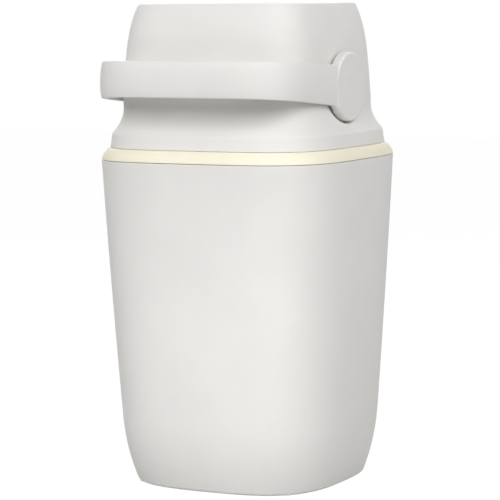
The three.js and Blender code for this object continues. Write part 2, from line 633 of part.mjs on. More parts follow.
function makeOutletPlate() {
  const top = PLATE_TOP_Z;
  const half = headHalf(top) - HEAD_WALL - PLATE_EDGE_GAP;
  const level = { half, exponent: SKIRT_EXPONENT };
  const plate = planLoft([{ ...level, z: PLATE_BOTTOM_Z }, { ...level, z: top }]);
  const holder = rod("z", SEAL_HOLDER_RADIUS, top - OVERSHOOT, top + SEAL_HEIGHT);
  const holderBore = rod("z", SEAL_HOLDER_RADIUS - SEAL_HOLDER_WALL, top, top + SEAL_HEIGHT + OVERSHOOT);
  const mouth = rod("z", PLATE_HOLE_RADIUS, PLATE_BOTTOM_Z - OVERSHOOT, top + OVERSHOOT);
  const holes = outletScrewPlaces().map((xy) => screwHole(xy, PLATE_BOTTOM_Z - OVERSHOOT, top + OVERSHOOT));
  return without(plate.add(holder), [holderBore, mouth, ...holes]);
}

function makeHeadGasket() {
  const outer = SKIRT_HALF - GASKET_INSET;
  const inner = outer - GASKET_WIDTH;
  const section = [
    [outer, HEAD_FOOT_Z],
    [outer, HEAD_FOOT_Z + GASKET_THICKNESS],
    [inner, HEAD_FOOT_Z + GASKET_THICKNESS],
    [inner, HEAD_FOOT_Z],
  ];
  return planLoft(section.map(([half, z]) => ({ half, z, exponent: SKIRT_EXPONENT })), true);
}

// A pan head screw standing on its head, shank upwards from the seat at the origin.
function makeScrew(length = SCREW_LENGTH) {
  return turned("z", [
    [0, -SCREW_HEAD_HEIGHT],
    [SCREW_HEAD_RADIUS, -SCREW_HEAD_HEIGHT],
    [SCREW_HEAD_RADIUS, 0],
    [SCREW_RADIUS, 0],
    [SCREW_RADIUS, length - SCREW_RADIUS],
    [0, length],
  ], { segments: SCREW_SEGMENTS });
}

function makeBush() {
  const flange = BOSS_FACE_X - SEAT_GAP - BUSH_FLANGE_THICKNESS;
  return turned("x", [
    [BUSH_BORE_RADIUS, flange],
    [BUSH_OUTER_RADIUS + BUSH_FLANGE_REACH, flange],
    [BUSH_OUTER_RADIUS + BUSH_FLANGE_REACH, flange + BUSH_FLANGE_THICKNESS],
    [BUSH_OUTER_RADIUS, flange + BUSH_FLANGE_THICKNESS],
    [BUSH_OUTER_RADIUS, POCKET_FLOOR_X],
    [BUSH_BORE_RADIUS, POCKET_FLOOR_X],
  ], { closed: true });
}

// Rotor halves, modelled about the pivot with the cup along Z

function rotorScrewPlaces() {
  const signs = [-1, 1];
  return signs.flatMap((ySign) => signs.map((zSign) => [ySign * ROTOR_SCREW_Y, zSign * ROTOR_SCREW_Z]));
}

function ballProfile(radius) {
  const arc = steps(-Math.PI / 2, Math.PI / 2, BALL_STEPS).slice(1, -1);
  return [[0, -radius], ...arc.map((a) => [radius * Math.cos(a), radius * Math.sin(a)]), [0, radius]];
}

function makeRightRotorHalf(screwSeats) {
  const ball = turned("x", ballProfile(ROTOR_RADIUS), { segments: BALL_SEGMENTS });
  const slab = block(
    [-ROTOR_RADIUS, -ROTOR_RADIUS, -CUP_HALF_LENGTH],
    [ROTOR_RADIUS, ROTOR_RADIUS, CUP_HALF_LENGTH],
  );
  const hollowBall = turned("x", ballProfile(ROTOR_RADIUS - ROTOR_WALL), { segments: BALL_SEGMENTS });
  const cavity = hollowBall.subtract(
    rod("z", CUP_RADIUS + ROTOR_WALL, -ROTOR_RADIUS, ROTOR_RADIUS),
  );
  const hollow = rod("x", JOURNAL_HOLLOW_RADIUS, ROTOR_RADIUS - 2 * ROTOR_WALL, JOURNAL_END_X);
  const posts = rotorScrewPlaces().map(([y, z]) =>
    slimRod("x", ROTOR_POST_RADIUS, 0, ROTOR_RADIUS, [0, y, z]),
  );
  const shell = without(ball, [cavity]).add(union(posts).intersect(ball)).intersect(slab);
  const tab = stopBlock({
    x: [SHOULDER_FACE_X - STOP_TAB_SETBACK - STOP_TAB_WIDTH, SHOULDER_FACE_X - STOP_TAB_SETBACK],
    reach: [JOURNAL_RADIUS, SHOULDER_RADIUS + STOP_TAB_REACH],
    across: [-STOP_TAB_THICKNESS / 2, STOP_TAB_THICKNESS / 2],
    turn: 0,
  });
  const shaft = union([
    rod("x", SHOULDER_RADIUS, ROTOR_RADIUS - 2 * ROTOR_WALL, SHOULDER_FACE_X),
    rod("x", JOURNAL_RADIUS, SHOULDER_FACE_X - OVERSHOOT, JOURNAL_END_X),
    block(
      [JOURNAL_END_X - OVERSHOOT, -DRIVE_SIDE / 2, -DRIVE_SIDE / 2],
      [JOURNAL_END_X + DRIVE_LENGTH, DRIVE_SIDE / 2, DRIVE_SIDE / 2],
    ),
    tab,
  ]);
  const bore = rod("z", CUP_RADIUS, -CUP_HALF_LENGTH + CUP_LIP_DEPTH, CUP_HALF_LENGTH - CUP_LIP_DEPTH);
  const mouth = rod("z", CUP_RADIUS - CUP_LIP_REACH, -ROTOR_RADIUS, ROTOR_RADIUS);
  const wide = 2 * ROTOR_RADIUS;
  const otherHalf = block([-wide, -wide, -wide], [SEAT_GAP / 2, wide, wide]);
  const holes = rotorScrewPlaces().flatMap(([y, z]) => {
    const at = [0, y, z];
    const segments = SCREW_SEGMENTS;
    const shank = rod("x", SCREW_RADIUS + RUNNING_GAP, 0, ROTOR_SCREW_SEAT + OVERSHOOT, { at, segments });
    const seat = rod("x", SCREW_HEAD_RADIUS + RUNNING_GAP, ROTOR_SCREW_SEAT, ROTOR_RADIUS, { at, segments });
    return screwSeats ? [shank, seat] : [shank];
  });
  return without(shell.add(shaft), [bore, mouth, hollow, otherHalf, ...holes]);
}

// Handle, modelled about the pivot with its front bar towards -Y

const handleReach = () => TOWER_HALF + FINGER_GAP + HANDLE_THICKNESS;
const handleHalf = () => TOWER_HALF + HANDLE_SIDE_GAP + HANDLE_THICKNESS;

function handleStation(turn) {
  const [width, reach] = [handleHalf(), handleReach()];
  const angle = turn + (CORNER_CROWDING * Math.sin(4 * turn)) / 4;
  const [c, s] = [Math.cos(angle), Math.sin(angle)];
  const power = HANDLE_EXPONENT;
  const size = (Math.abs(c / width) ** power + Math.abs(s / reach) ** power) ** (-1 / power);
  const [x, y] = [size * c, size * s];
  const out = new THREE.Vector2(
    (Math.sign(c) * Math.abs(x / width) ** (power - 1)) / width,
    (Math.sign(s) * Math.abs(y / reach) ** (power - 1)) / reach,
  ).normalize();
  return { x, y, out };
}

function handleHalfHeight(forward) {
  const share = THREE.MathUtils.clamp(forward / handleReach(), 0, 1);
  const taper = THREE.MathUtils.lerp(HANDLE_ROOT_HEIGHT, HANDLE_FRONT_HEIGHT, share) / 2;
  const fromHub = forward - (HUB_RADIUS - HANDLE_FILLET - SEAT_GAP);
  const nearness = THREE.MathUtils.clamp(1 - fromHub / HANDLE_FILLET_LENGTH, 0, 1);
  return taper + HANDLE_FILLET * nearness ** 2;
}

// The bar's section: flat inside, crowned outside, with eased edges, as [inwards, up] pairs.
function handleSection(halfHeight) {
  const shoulder = halfHeight - HANDLE_EDGE;
  const crownAt = (up) => HANDLE_CROWN * (up / halfHeight) ** 2;
  const upper = [
    [HANDLE_THICKNESS, shoulder],
    [HANDLE_THICKNESS - HANDLE_EDGE, halfHeight],
    [crownAt(halfHeight) + HANDLE_EDGE, halfHeight],
    [crownAt(shoulder), shoulder],
    [crownAt(shoulder / 2), shoulder / 2],
  ];
  const lower = upper.map(([inwards, up]) => [inwards, -up]).reverse();
  return [...upper, [0, 0], ...lower];
}

function makeHandle() {
  const rings = steps(0, -Math.PI, HANDLE_STATIONS).map((turn) => {
    const { x, y, out } = handleStation(turn);
    return handleSection(handleHalfHeight(-y)).map(
      ([inwards, up]) => new THREE.Vector3(x - out.x * inwards, y - out.y * inwards, up),
    );
  });
  const hubProfile = [
    [0, HUB_INNER_X],
    [HUB_RADIUS, HUB_INNER_X],
    ...quarterRound(HUB_EDGE_RADIUS, HUB_EDGE_STEPS).map(([inwards, up]) => [
      HUB_RADIUS - inwards,
      HUB_OUTER_X - HUB_EDGE_RADIUS + up,
    ]),
    [0, HUB_OUTER_X],
  ];
  const hub = turned("x", hubProfile);
  const socketSide = DRIVE_SIDE / 2 + RUNNING_GAP;
  const socketEnd = JOURNAL_END_X + DRIVE_LENGTH + RUNNING_GAP;
  const sockets = Object.values(SIDES).map((side) =>
    block(
      [side * (HUB_INNER_X - OVERSHOOT), -socketSide, -socketSide],
      [side * socketEnd, socketSide, socketSide],
    ),
  );
  return without(union([loft(rings), hub, mirroredX(hub)]), sockets);
}

// Piston, modelled about the rotor's pivot at the closed end of the cup

const pistonFoot = () => -CUP_HALF_LENGTH + CUP_LIP_DEPTH + SEAT_GAP;
const pistonMiddle = () => pistonFoot() + PISTON_THICKNESS / 2;

function pistonScrewPlaces() {
  return Array.from({ length: PISTON_SCREWS }, (_, i) => {
    const angle = Math.PI / 2 + (2 * Math.PI * i) / PISTON_SCREWS;
    return [PISTON_SCREW_CIRCLE * Math.cos(angle), PISTON_SCREW_CIRCLE * Math.sin(angle)];
  });
}

// The upper shell, a dish that closes down on the wiper ring. The lower one is its mirror image.
function pistonDish() {
  const radius = PISTON_RADIUS;
  const middle = pistonMiddle();
  const top = middle + PISTON_THICKNESS / 2;
  const wiperTop = middle + WIPER_HEIGHT / 2 + SEAT_GAP;
  const grooveRadius = radius - WIPER_DEPTH;
  return turned("z", [
    [0, top - PISTON_WALL],
    [grooveRadius - PISTON_WALL, top - PISTON_WALL],
    [grooveRadius - PISTON_WALL, middle + SEAT_GAP / 2],
    [grooveRadius, middle + SEAT_GAP / 2],
    [grooveRadius, wiperTop],
    [radius, wiperTop],
    [radius, top - PISTON_WALL],
    [radius - PISTON_WALL, top],
    [0, top],
  ]);
}

function pistonPosts(sign) {
  const near = pistonMiddle() + (sign * SEAT_GAP) / 2;
  const far = pistonMiddle() + sign * (PISTON_THICKNESS / 2 - PISTON_WALL / 2);
  return pistonScrewPlaces().map(([x, y]) => slimRod("z", POST_RADIUS, near, far, [x, y, 0]));
}

// A pad inside a shell, up or down from the middle, that the weight is held against.
function weightPad(sign) {
  const near = pistonMiddle() + sign * (WEIGHT_THICKNESS / 2 + SEAT_GAP);
  const far = pistonMiddle() + sign * (PISTON_THICKNESS / 2 - PISTON_WALL / 2);
  return rod("z", WEIGHT_PAD_RADIUS, near, far);
}

function makePistonUpperShell() {
  const top = pistonMiddle() + PISTON_THICKNESS / 2;
  const holes = pistonScrewPlaces().map((xy) => screwHole(xy, pistonMiddle(), top - PISTON_WALL));
  return without(union([pistonDish(), weightPad(1), ...pistonPosts(1)]), holes);
}

function makePistonLowerShell() {
  const middle = pistonMiddle();
  const foot = middle - PISTON_THICKNESS / 2;
  const dish = geometryOf(pistonDish()).translate(0, 0, -middle).scale(1, 1, -1).translate(0, 0, middle);
  const seatTop = foot + PISTON_WALL + SCREW_HEAD_HEIGHT;
  const holes = pistonScrewPlaces().flatMap(([x, y]) => [
    screwHole([x, y], foot, middle),
    rod("z", SCREW_HEAD_RADIUS + RUNNING_GAP, foot - OVERSHOOT, seatTop, {
      at: [x, y, 0],
      segments: SCREW_SEGMENTS,
    }),
  ]);
  return without(union([solidOf(dish), weightPad(-1), ...pistonPosts(-1)]), holes);
}

function makePistonWeight() {
  const middle = pistonMiddle();
  return rod("z", WEIGHT_RADIUS, middle - WEIGHT_THICKNESS / 2, middle + WEIGHT_THICKNESS / 2);
}

function makePistonWiper() {
  const middle = pistonMiddle();
  const inner = PISTON_RADIUS - WIPER_DEPTH + SEAT_GAP;
  const outer = CUP_RADIUS - RUNNING_GAP;
  const [low, high] = [middle - WIPER_HEIGHT / 2, middle + WIPER_HEIGHT / 2];
  const lip = outer - WIPER_BEVEL;
  const profile = [[inner, low], [lip, low], [outer, middle], [lip, high], [inner, high]];
  return turned("z", profile, { closed: true });
}

// Assembly

function addPart(group, name, solid, material, position = [0, 0, 0], rotation = [0, 0, 0]) {
  const mesh = new THREE.Mesh(geometryOf(solid), material);
  mesh.name = name;
  mesh.position.set(...position);
  mesh.rotation.set(...rotation);
  group.add(mesh);
}

function addHead(bin) {
  const head = new THREE.Group();
  bin.add(head);
  addPart(head, "head_housing", makeHeadHousing(), FINISH.shell());
  addPart(head, "inlet_ring", makeInletRing(), FINISH.inner());
  addPart(head, "upper_seal", makeUpperSeal(), FINISH.foam());
  addPart(head, "outlet_plate", makeOutletPlate(), FINISH.inner());
  addPart(head, "lower_seal", makeLowerSeal(), FINISH.foam());
  addPart(head, "head_gasket", makeHeadGasket(), FINISH.foam());
  addPart(head, "bearing_bush_right", makeBush(), FINISH.bearing(), [0, 0, PIVOT_Z]);
  addPart(head, "bearing_bush_left", mirroredX(makeBush()), FINISH.bearing(), [0, 0, PIVOT_Z]);
  inletScrewPlaces().forEach(([x, y], i) => {
    const place = [x, y, inletFlangeBottom() - SEAT_GAP];
    addPart(head, `inlet_screw_${i + 1}`, makeScrew(), FINISH.steel(), place);
  });
  outletScrewPlaces().forEach(([x, y], i) => {
    const place = [x, y, PLATE_BOTTOM_Z - SEAT_GAP];
    addPart(head, `outlet_screw_${i + 1}`, makeScrew(), FINISH.steel(), place);
  });
}

function addRotor(bin) {
  const rotor = new THREE.Group();
  rotor.position.z = PIVOT_Z;
  rotor.rotation.x = -ROTOR_REST_TILT;
  bin.add(rotor);
  addPart(rotor, "rotor_half_right", makeRightRotorHalf(true), FINISH.inner());
  addPart(rotor, "rotor_half_left", mirroredX(makeRightRotorHalf(false)), FINISH.inner());
  rotorScrewPlaces().forEach(([y, z], i) => {
    const place = [ROTOR_SCREW_SEAT + SEAT_GAP, y, z];
    const screw = makeScrew(ROTOR_SCREW_LENGTH);
    addPart(rotor, `rotor_screw_${i + 1}`, screw, FINISH.steel(), place, [0, -Math.PI / 2, 0]);
  });
  addPart(rotor, "handle", makeHandle(), FINISH.shell());
  addPart(rotor, "piston_upper_shell", makePistonUpperShell(), FINISH.cream());
  addPart(rotor, "piston_lower_shell", makePistonLowerShell(), FINISH.cream());
  addPart(rotor, "piston_weight", makePistonWeight(), FINISH.steel());
  addPart(rotor, "piston_wiper", makePistonWiper(), FINISH.rubber());
  const seat = pistonMiddle() - PISTON_THICKNESS / 2 + PISTON_WALL + SCREW_HEAD_HEIGHT - SEAT_GAP;
  pistonScrewPlaces().forEach(([x, y], i) =>
    addPart(rotor, `piston_screw_${i + 1}`, makeScrew(), FINISH.steel(), [x, y, seat]),
  );
}

function makeBin() {
  const bin = new THREE.Group();
  addPart(bin, "bucket_shell", makeBucketShell(), FINISH.shell());
  addPart(bin, "collar_ring", makeCollarRing(), FINISH.cream());
  addPart(bin, "hinge_pin", makeHingePin(), FINISH.steel());
  addHead(bin);
  addRotor(bin);
  return bin;
}

export default makeBin();
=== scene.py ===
"""Looks of a nappy bin: a tapered bucket, a cream collar, and a head with a ball rotor and a bail handle.

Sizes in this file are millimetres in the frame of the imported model: +Z up, the front towards -Y, the right
side towards +X, the origin on the floor under the middle. A finished piece is scaled to metres.
"""

import json
import logging
import math
from abc import ABC, abstractmethod
from collections.abc import Callable, Iterable, Mapping, Sequence
from dataclasses import dataclass, replace
from enum import Enum
from functools import cache
from typing import Any

import bmesh
import bpy
from mathutils import Matrix, Vector


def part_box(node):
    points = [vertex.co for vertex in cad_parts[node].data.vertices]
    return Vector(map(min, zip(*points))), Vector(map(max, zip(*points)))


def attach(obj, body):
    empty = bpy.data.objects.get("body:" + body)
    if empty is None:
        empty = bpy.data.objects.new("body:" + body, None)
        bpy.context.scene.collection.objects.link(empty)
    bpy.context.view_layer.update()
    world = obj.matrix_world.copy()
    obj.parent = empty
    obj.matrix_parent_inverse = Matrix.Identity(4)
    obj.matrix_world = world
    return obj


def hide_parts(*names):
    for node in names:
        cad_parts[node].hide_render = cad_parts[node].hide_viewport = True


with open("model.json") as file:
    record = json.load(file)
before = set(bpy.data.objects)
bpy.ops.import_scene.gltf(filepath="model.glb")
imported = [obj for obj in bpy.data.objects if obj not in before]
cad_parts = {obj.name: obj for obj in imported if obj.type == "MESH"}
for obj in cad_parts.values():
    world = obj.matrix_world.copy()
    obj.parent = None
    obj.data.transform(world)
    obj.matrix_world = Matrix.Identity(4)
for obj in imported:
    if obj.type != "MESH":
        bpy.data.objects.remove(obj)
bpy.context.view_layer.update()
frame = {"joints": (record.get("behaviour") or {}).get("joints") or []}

LOG = logging.getLogger("nappy_bin")
MILLIMETRES = 1000.0

# The room left between two pieces that would touch.
SEAT_GAP = 0.3
# How far a cutting form runs past what it cuts, and an added form into what it joins.
OVERLAP = 1.0
# How far faces that would share a plane are kept apart before they are joined.
SLIVER = 0.01
# How far from a face a point may lie and still count as on it.
NEAR = 0.1
# How strongly the points of an outline crowd towards its four corners.
CROWDING = 0.5

Edges = list[bmesh.types.BMEdge]
# A rule that gives a point its place, and one that picks an edge by its middle.
Place = Callable[[bmesh.types.BMVert], Vector]
Pick = Callable[[Vector], bool]
Colour = tuple[float, float, float]
Stretch = tuple[float, float, float]
# What a node's input takes: a value, a socket or a wire.
Source = Any


class Body(Enum):
    """The bodies that pieces ride on."""

    BUCKET = "bucket"
    COLLAR = "collar"
    HEAD = "head"
    ROTOR = "rotor"
    PISTON = "piston"


class Slot(Enum):
    """The record's material slots."""

    SHELL = "shell_plastic"
    CREAM = "collar_plastic"
    INNER = "inner_plastic"
    PISTON = "piston_plastic"
    BEARING = "bearing_plastic"
    FOAM = "seal_foam"
    RUBBER = "wiper_rubber"
    STEEL = "steel"


class Side(Enum):
    """The two sides of the bin, as the sign of X."""

    LEFT = -1
    RIGHT = 1


class End(Enum):
    """The two ends of the ball's cup at rest, as the sign of Z."""

    UPPER = 1
    LOWER = -1


class Joining(Enum):
    """Ways in which one form meets another."""

    ADD = "UNION"
    CUT = "DIFFERENCE"
    KEEP = "INTERSECT"


class Axis(Enum):
    """The axis that a turned form is turned about."""

    X = Vector((1, 0, 0))
    Z = Vector((0, 0, 1))


@cache
def node_box(node: str) -> tuple[Vector, Vector]:
    """Returns the lowest and the highest corner of a node's box in the frame, in millimetres."""
    low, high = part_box(node)
    return low * MILLIMETRES, high * MILLIMETRES


def joint_row(name: str) -> Mapping[str, Any]:
    """Returns what the frame says of a joint."""
    return next(row for row in frame["joints"] if row["name"] == name)


@cache
def joint_point(name: str) -> Vector:
    """Returns the point that a joint turns about, in millimetres."""
    return Vector(joint_row(name)["pos_m"]) * MILLIMETRES


def rest_tilt() -> float:
    """Returns how far the rotor leans back at rest, in radians, as the piston's slide does."""
    _, across, up = joint_row("piston_drop")["axis"]
    return -math.atan2(across, up)


def steps(start: float, end: float, count: int) -> list[float]:
    """Returns the values that divide a stretch into so many equal steps, with its two ends."""
    return [start + (end - start) * i / count for i in range(count + 1)]


def quarter_turn(count: int) -> list[float]:
    """Returns the angles that divide a quarter turn evenly."""
    return steps(0, math.pi / 2, count)


def clamped(value: float) -> float:
    """Returns a value kept between 0 and 1."""
    return min(max(value, 0.0), 1.0)


def ease_in(value: float) -> float:
    """Returns a smooth rise from 0 to 1 for a value between 0 and 1."""
    kept = clamped(value)
    return kept * kept * (3 - 2 * kept)


def crowded(turn: float) -> float:
    """Returns an angle moved towards the nearest corner of a square outline, where the outline bends."""
    return turn + CROWDING * math.sin(4 * turn) / 4


def above(height: float) -> Pick:
    """Picks what lies above a height or on it."""
    return lambda point: point.z > height - NEAR


def below(height: float) -> Pick:
    """Picks what lies below a height or on it."""
    return lambda point: point.z < height + NEAR


def off_axis(point: Vector) -> float:
    """Returns how far a point is from the bin's upright axis."""
    return math.hypot(point.x, point.y)


@dataclass(frozen=True)
class Round:
    """A rounded edge.

    Attributes:
        radius: How far from the edge the round starts.
        faces: How many faces it has.
    """

    radius: float
    faces: int = 4


@dataclass(frozen=True)
class Level:
    """One ring of a shell.

    Attributes:
        z: Its height.
        half: Half of its width.
        square: The power of its outline: 2 is a circle, and more is a square with round corners.
    """

    z: float
    half: float
    square: float = 2.0

    def point(self, turn: float) -> Vector:
        """Finds a point of the ring.

        Args:
            turn: Where on the ring, in radians. Points crowd towards the corners.

        Returns:
            The point.
        """
        angle = crowded(turn)
        c, s = math.cos(angle), math.sin(angle)
        reach = self.half / (abs(c) ** self.square + abs(s) ** self.square) ** (1 / self.square)
        return Vector((reach * c, reach * s, self.z))

    def face_x(self, y: float) -> float:
        """Returns how far out the ring lies at the right side, at a distance from the middle."""
        return self.half * (1 - abs(y / self.half) ** self.square) ** (1 / self.square)

    def inset(self, distance: float) -> "Level":
        """Returns the ring drawn in by a distance."""
        return replace(self, half=self.half - distance)

    def at(self, z: float) -> "Level":
        """Returns the ring moved to another height."""
        return replace(self, z=z)


@dataclass(frozen=True)
class ShellLines:
    """The lines that the bucket, the collar and the head share, so that their outlines run on."""

    bucket_draft: float = 16.5
    bucket_bulge: float = 0.6
    foot_height: float = 80.0
    foot_inset: float = 11.3
    foot_power: float = 2.2
    foot_square: float = 3.08
    skirt_square: float = 3.8
    tower_square: float = 5.0
    skirt_height: float = 15.3
    skirt_draft: float = 1.9
    neck_flare: float = 16.1
    neck_power: float = 2.1
    crease: float = 1.6
    tower_foot_drop: float = 17.0
    tower_draft: float = 6.0
    tower_shoulder: float = 9.5
    tower_power: float = 4.4

    @property
    def rim_half(self) -> float:
        """Half of the width at the bucket's rim."""
        return node_box("bucket_shell")[1].x

    @property
    def rim_z(self) -> float:
        """Height of the bucket's rim."""
        return node_box("bucket_shell")[1].z

    @property
    def collar_foot(self) -> float:
        """Height of the seam between the bucket and the collar's shoulder."""
        return self.rim_z + 2 * SEAT_GAP

    @property
    def head_foot(self) -> float:
        """Height of the head's lower edge."""
        return node_box("head_housing")[0].z

    @property
    def neck_foot(self) -> float:
        """Height where the skirt of the head ends and the neck begins."""
        return self.head_foot + self.skirt_height

    @property
    def pivot(self) -> Vector:
        """The middle of the rotor's axle."""
        return joint_point("handle_swing")

    @property
    def tower_foot(self) -> float:
        """Height where the neck ends and the tower begins."""
        return self.pivot.z - self.tower_foot_drop

    @property
    def top(self) -> float:
        """Height of the flat top."""
        return node_box("head_housing")[1].z

    @property
    def skirt_half(self) -> float:
        """Half of the width at the head's lower edge."""
        return node_box("head_housing")[1].x

    @property
    def tower_half(self) -> float:
        """Half of the width at the tower's foot."""
        return self.skirt_half - self.skirt_draft - self.neck_flare

    def bucket(self, z: float) -> Level:
        """Returns the bucket's outer ring at a height."""
        up = z / self.rim_z
        in_foot = max(0.0, 1 - z / self.foot_height)
        over_foot = max(0.0, (z - self.foot_height) / (self.rim_z - self.foot_height))
        half = (
            self.rim_half
            - self.bucket_draft * (1 - up)
            - self.foot_inset * in_foot ** self.foot_power
            + 4 * self.bucket_bulge * over_foot * (1 - over_foot)
        )
        return Level(z, half, self.foot_square + (self.skirt_square - self.foot_square) * up)

    def _head_half(self, z: float) -> float:
        """Returns half of the head's width at a height, with a sharp crease at the foot of the neck."""
        if z <= self.neck_foot:
            return self.skirt_half - self.skirt_draft * (z - self.head_foot) / self.skirt_height
        if z <= self.tower_foot:
            drop = (self.tower_foot - z) / (self.tower_foot - self.neck_foot)
            return self.tower_half + self.neck_flare * drop ** self.neck_power
        up = (z - self.tower_foot) / (self.top - self.tower_foot)
        return self.tower_half - self.tower_draft * up - self.tower_shoulder * up ** self.tower_power

    def head(self, z: float) -> Level:
        """Returns the head's outer ring at a height, with the crease at the foot of the neck eased."""
        half = self._head_half(z)
        share = (z - self.neck_foot + self.crease) / (2 * self.crease)
        if 0 < share < 1:
            low = self._head_half(self.neck_foot - self.crease)
            middle = self._head_half(self.neck_foot)
            high = self._head_half(self.neck_foot + self.crease)
            half = (1 - share) ** 2 * low + 2 * share * (1 - share) * middle + share ** 2 * high
        blend = clamped((z - self.neck_foot) / (self.tower_foot - self.neck_foot))
        return Level(z, half, self.skirt_square + (self.tower_square - self.skirt_square) * blend)


LINES = ShellLines()


class Form:
    """A mesh in the making, in millimetres.

    Attributes:
        mesh: The bmesh that holds it.
        turn: A number on each point that a ring keeps as it grows, such as the angle round the shell.
    """

    # How far apart points may lie and still be merged.
    SAME_PLACE = 1e-3
    # The bend of an edge from which it is sharp.
    SHARP = math.radians(38)
    # The attribute that says how worn a point is.
    WEAR = "wear"
    # How far the surface bends over each millimetre where wear starts, and how much farther where it is full.
    WORN_FROM = 0.12
    WORN_OVER = 0.45
    # The narrowest face that the bend is measured over.
    NARROWEST = 0.05

    def __init__(self) -> None:
        """Starts an empty form."""
        self.mesh = bmesh.new()
        self.turn = self.mesh.verts.layers.float.new("turn")

    def start(self, place: Place, sides: int) -> Edges:
        """Starts the form with a ring.

        Args:
            place: Gives the place of a point, which has its angle round the ring.
            sides: How many points it has.

        Returns:
            The ring's edges, from which the form grows.
        """
        points = bmesh.ops.create_circle(self.mesh, cap_ends=False, radius=1.0, segments=sides)["verts"]
        for point in points:
            point[self.turn] = math.atan2(point.co.y, point.co.x)
            point.co = place(point)
        return list(dict.fromkeys(edge for point in points for edge in point.link_edges))

    def circle(self, level: Level, sides: int) -> Edges:
        """Starts the form with a ring of a height and outline, and returns its edges."""
        return self.start(lambda point: level.point(point[self.turn]), sides)

    def grow(self, rim: Edges, place: Place) -> Edges:
        """Extrudes a rim and puts each new point where a rule says.

        Args:
            rim: The edges to extrude.
            place: Gives the place of a new point, which has its numbers from the rim.

        Returns:
            The new rim.
        """
        found = bmesh.ops.extrude_edge_only(self.mesh, edges=rim)["geom"]
        fresh = {item for item in found if isinstance(item, bmesh.types.BMVert)}
        for point in fresh:
            point.co = place(point)
        edges = (item for item in found if isinstance(item, bmesh.types.BMEdge))
        return [edge for edge in edges if fresh.issuperset(edge.verts)]

    def climb(self, rim: Edges, levels: Iterable[Level]) -> Edges:
        """Grows a rim through rings.

        Args:
            rim: The edges to start from.
            levels: The rings, in order.

        Returns:
            The last rim.
        """
        for level in levels:
            rim = self.grow(rim, lambda point, ring=level: ring.point(point[self.turn]))
        return rim

    def close(self, rim: Edges) -> None:
        """Closes a rim with one face."""
        bmesh.ops.contextual_create(self.mesh, geom=rim)

    def weld(self) -> "Form":
        """Merges points that share a place, turns every face outwards and returns the form."""
        bmesh.ops.remove_doubles(self.mesh, verts=self.mesh.verts, dist=self.SAME_PLACE)
        bmesh.ops.recalc_face_normals(self.mesh, faces=self.mesh.faces)
        return self

    def ease(self, edge_round: Round, where: Pick | None = None) -> "Form":
        """Rounds the sharp edges.

        Args:
            edge_round: The round that they get.
            where: Says by an edge's middle whether to round it. All sharp edges are rounded without it.

        Returns:
            The form itself.
        """
        self.mesh.normal_update()
        sharp = [edge for edge in self.mesh.edges if edge.is_manifold and edge.calc_face_angle() > self.SHARP]
        chosen = [edge for edge in sharp if where is None or where((edge.verts[0].co + edge.verts[1].co) / 2)]
        bmesh.ops.bevel(
            self.mesh,
            geom=chosen,
            offset=edge_round.radius,
            offset_type="OFFSET",
            segments=edge_round.faces,
            profile=0.5,
            affect="EDGES",
            material=-1,
            clamp_overlap=True,
        )
        return self

    def moved(self, matrix: Matrix) -> "Form":
        """Applies a move, a turn or a mirroring.

        Args:
            matrix: The transform.

        Returns:
            The form itself.
        """
        bmesh.ops.transform(self.mesh, matrix=matrix, verts=self.mesh.verts)
        if matrix.determinant() < 0:
            bmesh.ops.reverse_faces(self.mesh, faces=self.mesh.faces)
        return self

    def shifted(self, x: float = 0.0, y: float = 0.0, z: float = 0.0) -> "Form":
        """Moves the form along the axes and returns it."""
        return self.moved(Matrix.Translation((x, y, z)))

    def on(self, side: Side) -> "Form":
        """Mirrors a form of the right side where it is for the left one, and returns it."""
        return self.moved(Matrix.Scale(side.value, 4, (1, 0, 0)))

    def copy(self) -> "Form":
        """Returns a copy of the form."""
        twin = Form()
        spare = bpy.data.meshes.new("spare")
        self.mesh.to_mesh(spare)
        twin.mesh.clear()
        twin.mesh.from_mesh(spare)
        bpy.data.meshes.remove(spare)
        return twin

    def join(self, other: "Form", way: Joining) -> "Form":
        """Adds, cuts or keeps the space of another form, with an exact boolean.

        Args:
            other: The form to join.
            way: How they meet.

        Returns:
            The form itself.
        """
        bench = []
        for form in (self, other):
            solid = bpy.data.objects.new("bench", bpy.data.meshes.new("bench"))
            form.mesh.to_mesh(solid.data)
            bpy.context.scene.collection.objects.link(solid)
            bench.append(solid)
        cutter = bench[0].modifiers.new("Join", "BOOLEAN")
        cutter.operation = way.value
        cutter.solver = "EXACT"
        cutter.object = bench[1]
        whole = bpy.data.meshes.new_from_object(bench[0].evaluated_get(bpy.context.evaluated_depsgraph_get()))
        self.mesh.clear()
        self.mesh.from_mesh(whole)
        for solid in bench:
            left = solid.data
            bpy.data.objects.remove(solid)
            bpy.data.meshes.remove(left)
        bpy.data.meshes.remove(whole)
        return self

    def add(self, *others: "Form") -> "Form":
        """Joins other forms to this one and returns it."""
        for other in others:
            self.join(other, Joining.ADD)
        return self

    def cut(self, *others: "Form") -> "Form":
        """Cuts other forms from this one and returns it."""
        for other in others:
            self.join(other, Joining.CUT)
        return self

    def layer(self, name: str) -> bmesh.types.BMLayerItem:
        """Returns the numbers of a name on the points, and makes them where there are none."""
        layers = self.mesh.verts.layers.float
        return layers.get(name) or layers.new(name)

    def _mark_wear(self) -> None:
        """Writes how tightly the surface turns outwards at each point, from 0 on flats to 1 on edges."""
        worn = self.layer(self.WEAR)
        for edge in self.mesh.edges:
            if len(edge.link_faces) != 2:
                continue
            near, far = (face.calc_center_median() for face in edge.link_faces)
            along = (edge.verts[1].co - edge.verts[0].co).normalized()
            across = far - near
            width = (across - along * across.dot(along)).length
            bend = edge.calc_face_angle_signed(0.0) / max(width, self.NARROWEST)
            value = clamped((bend - self.WORN_FROM) / self.WORN_OVER)
            for point in edge.verts:
                point[worn] = max(point[worn], value)

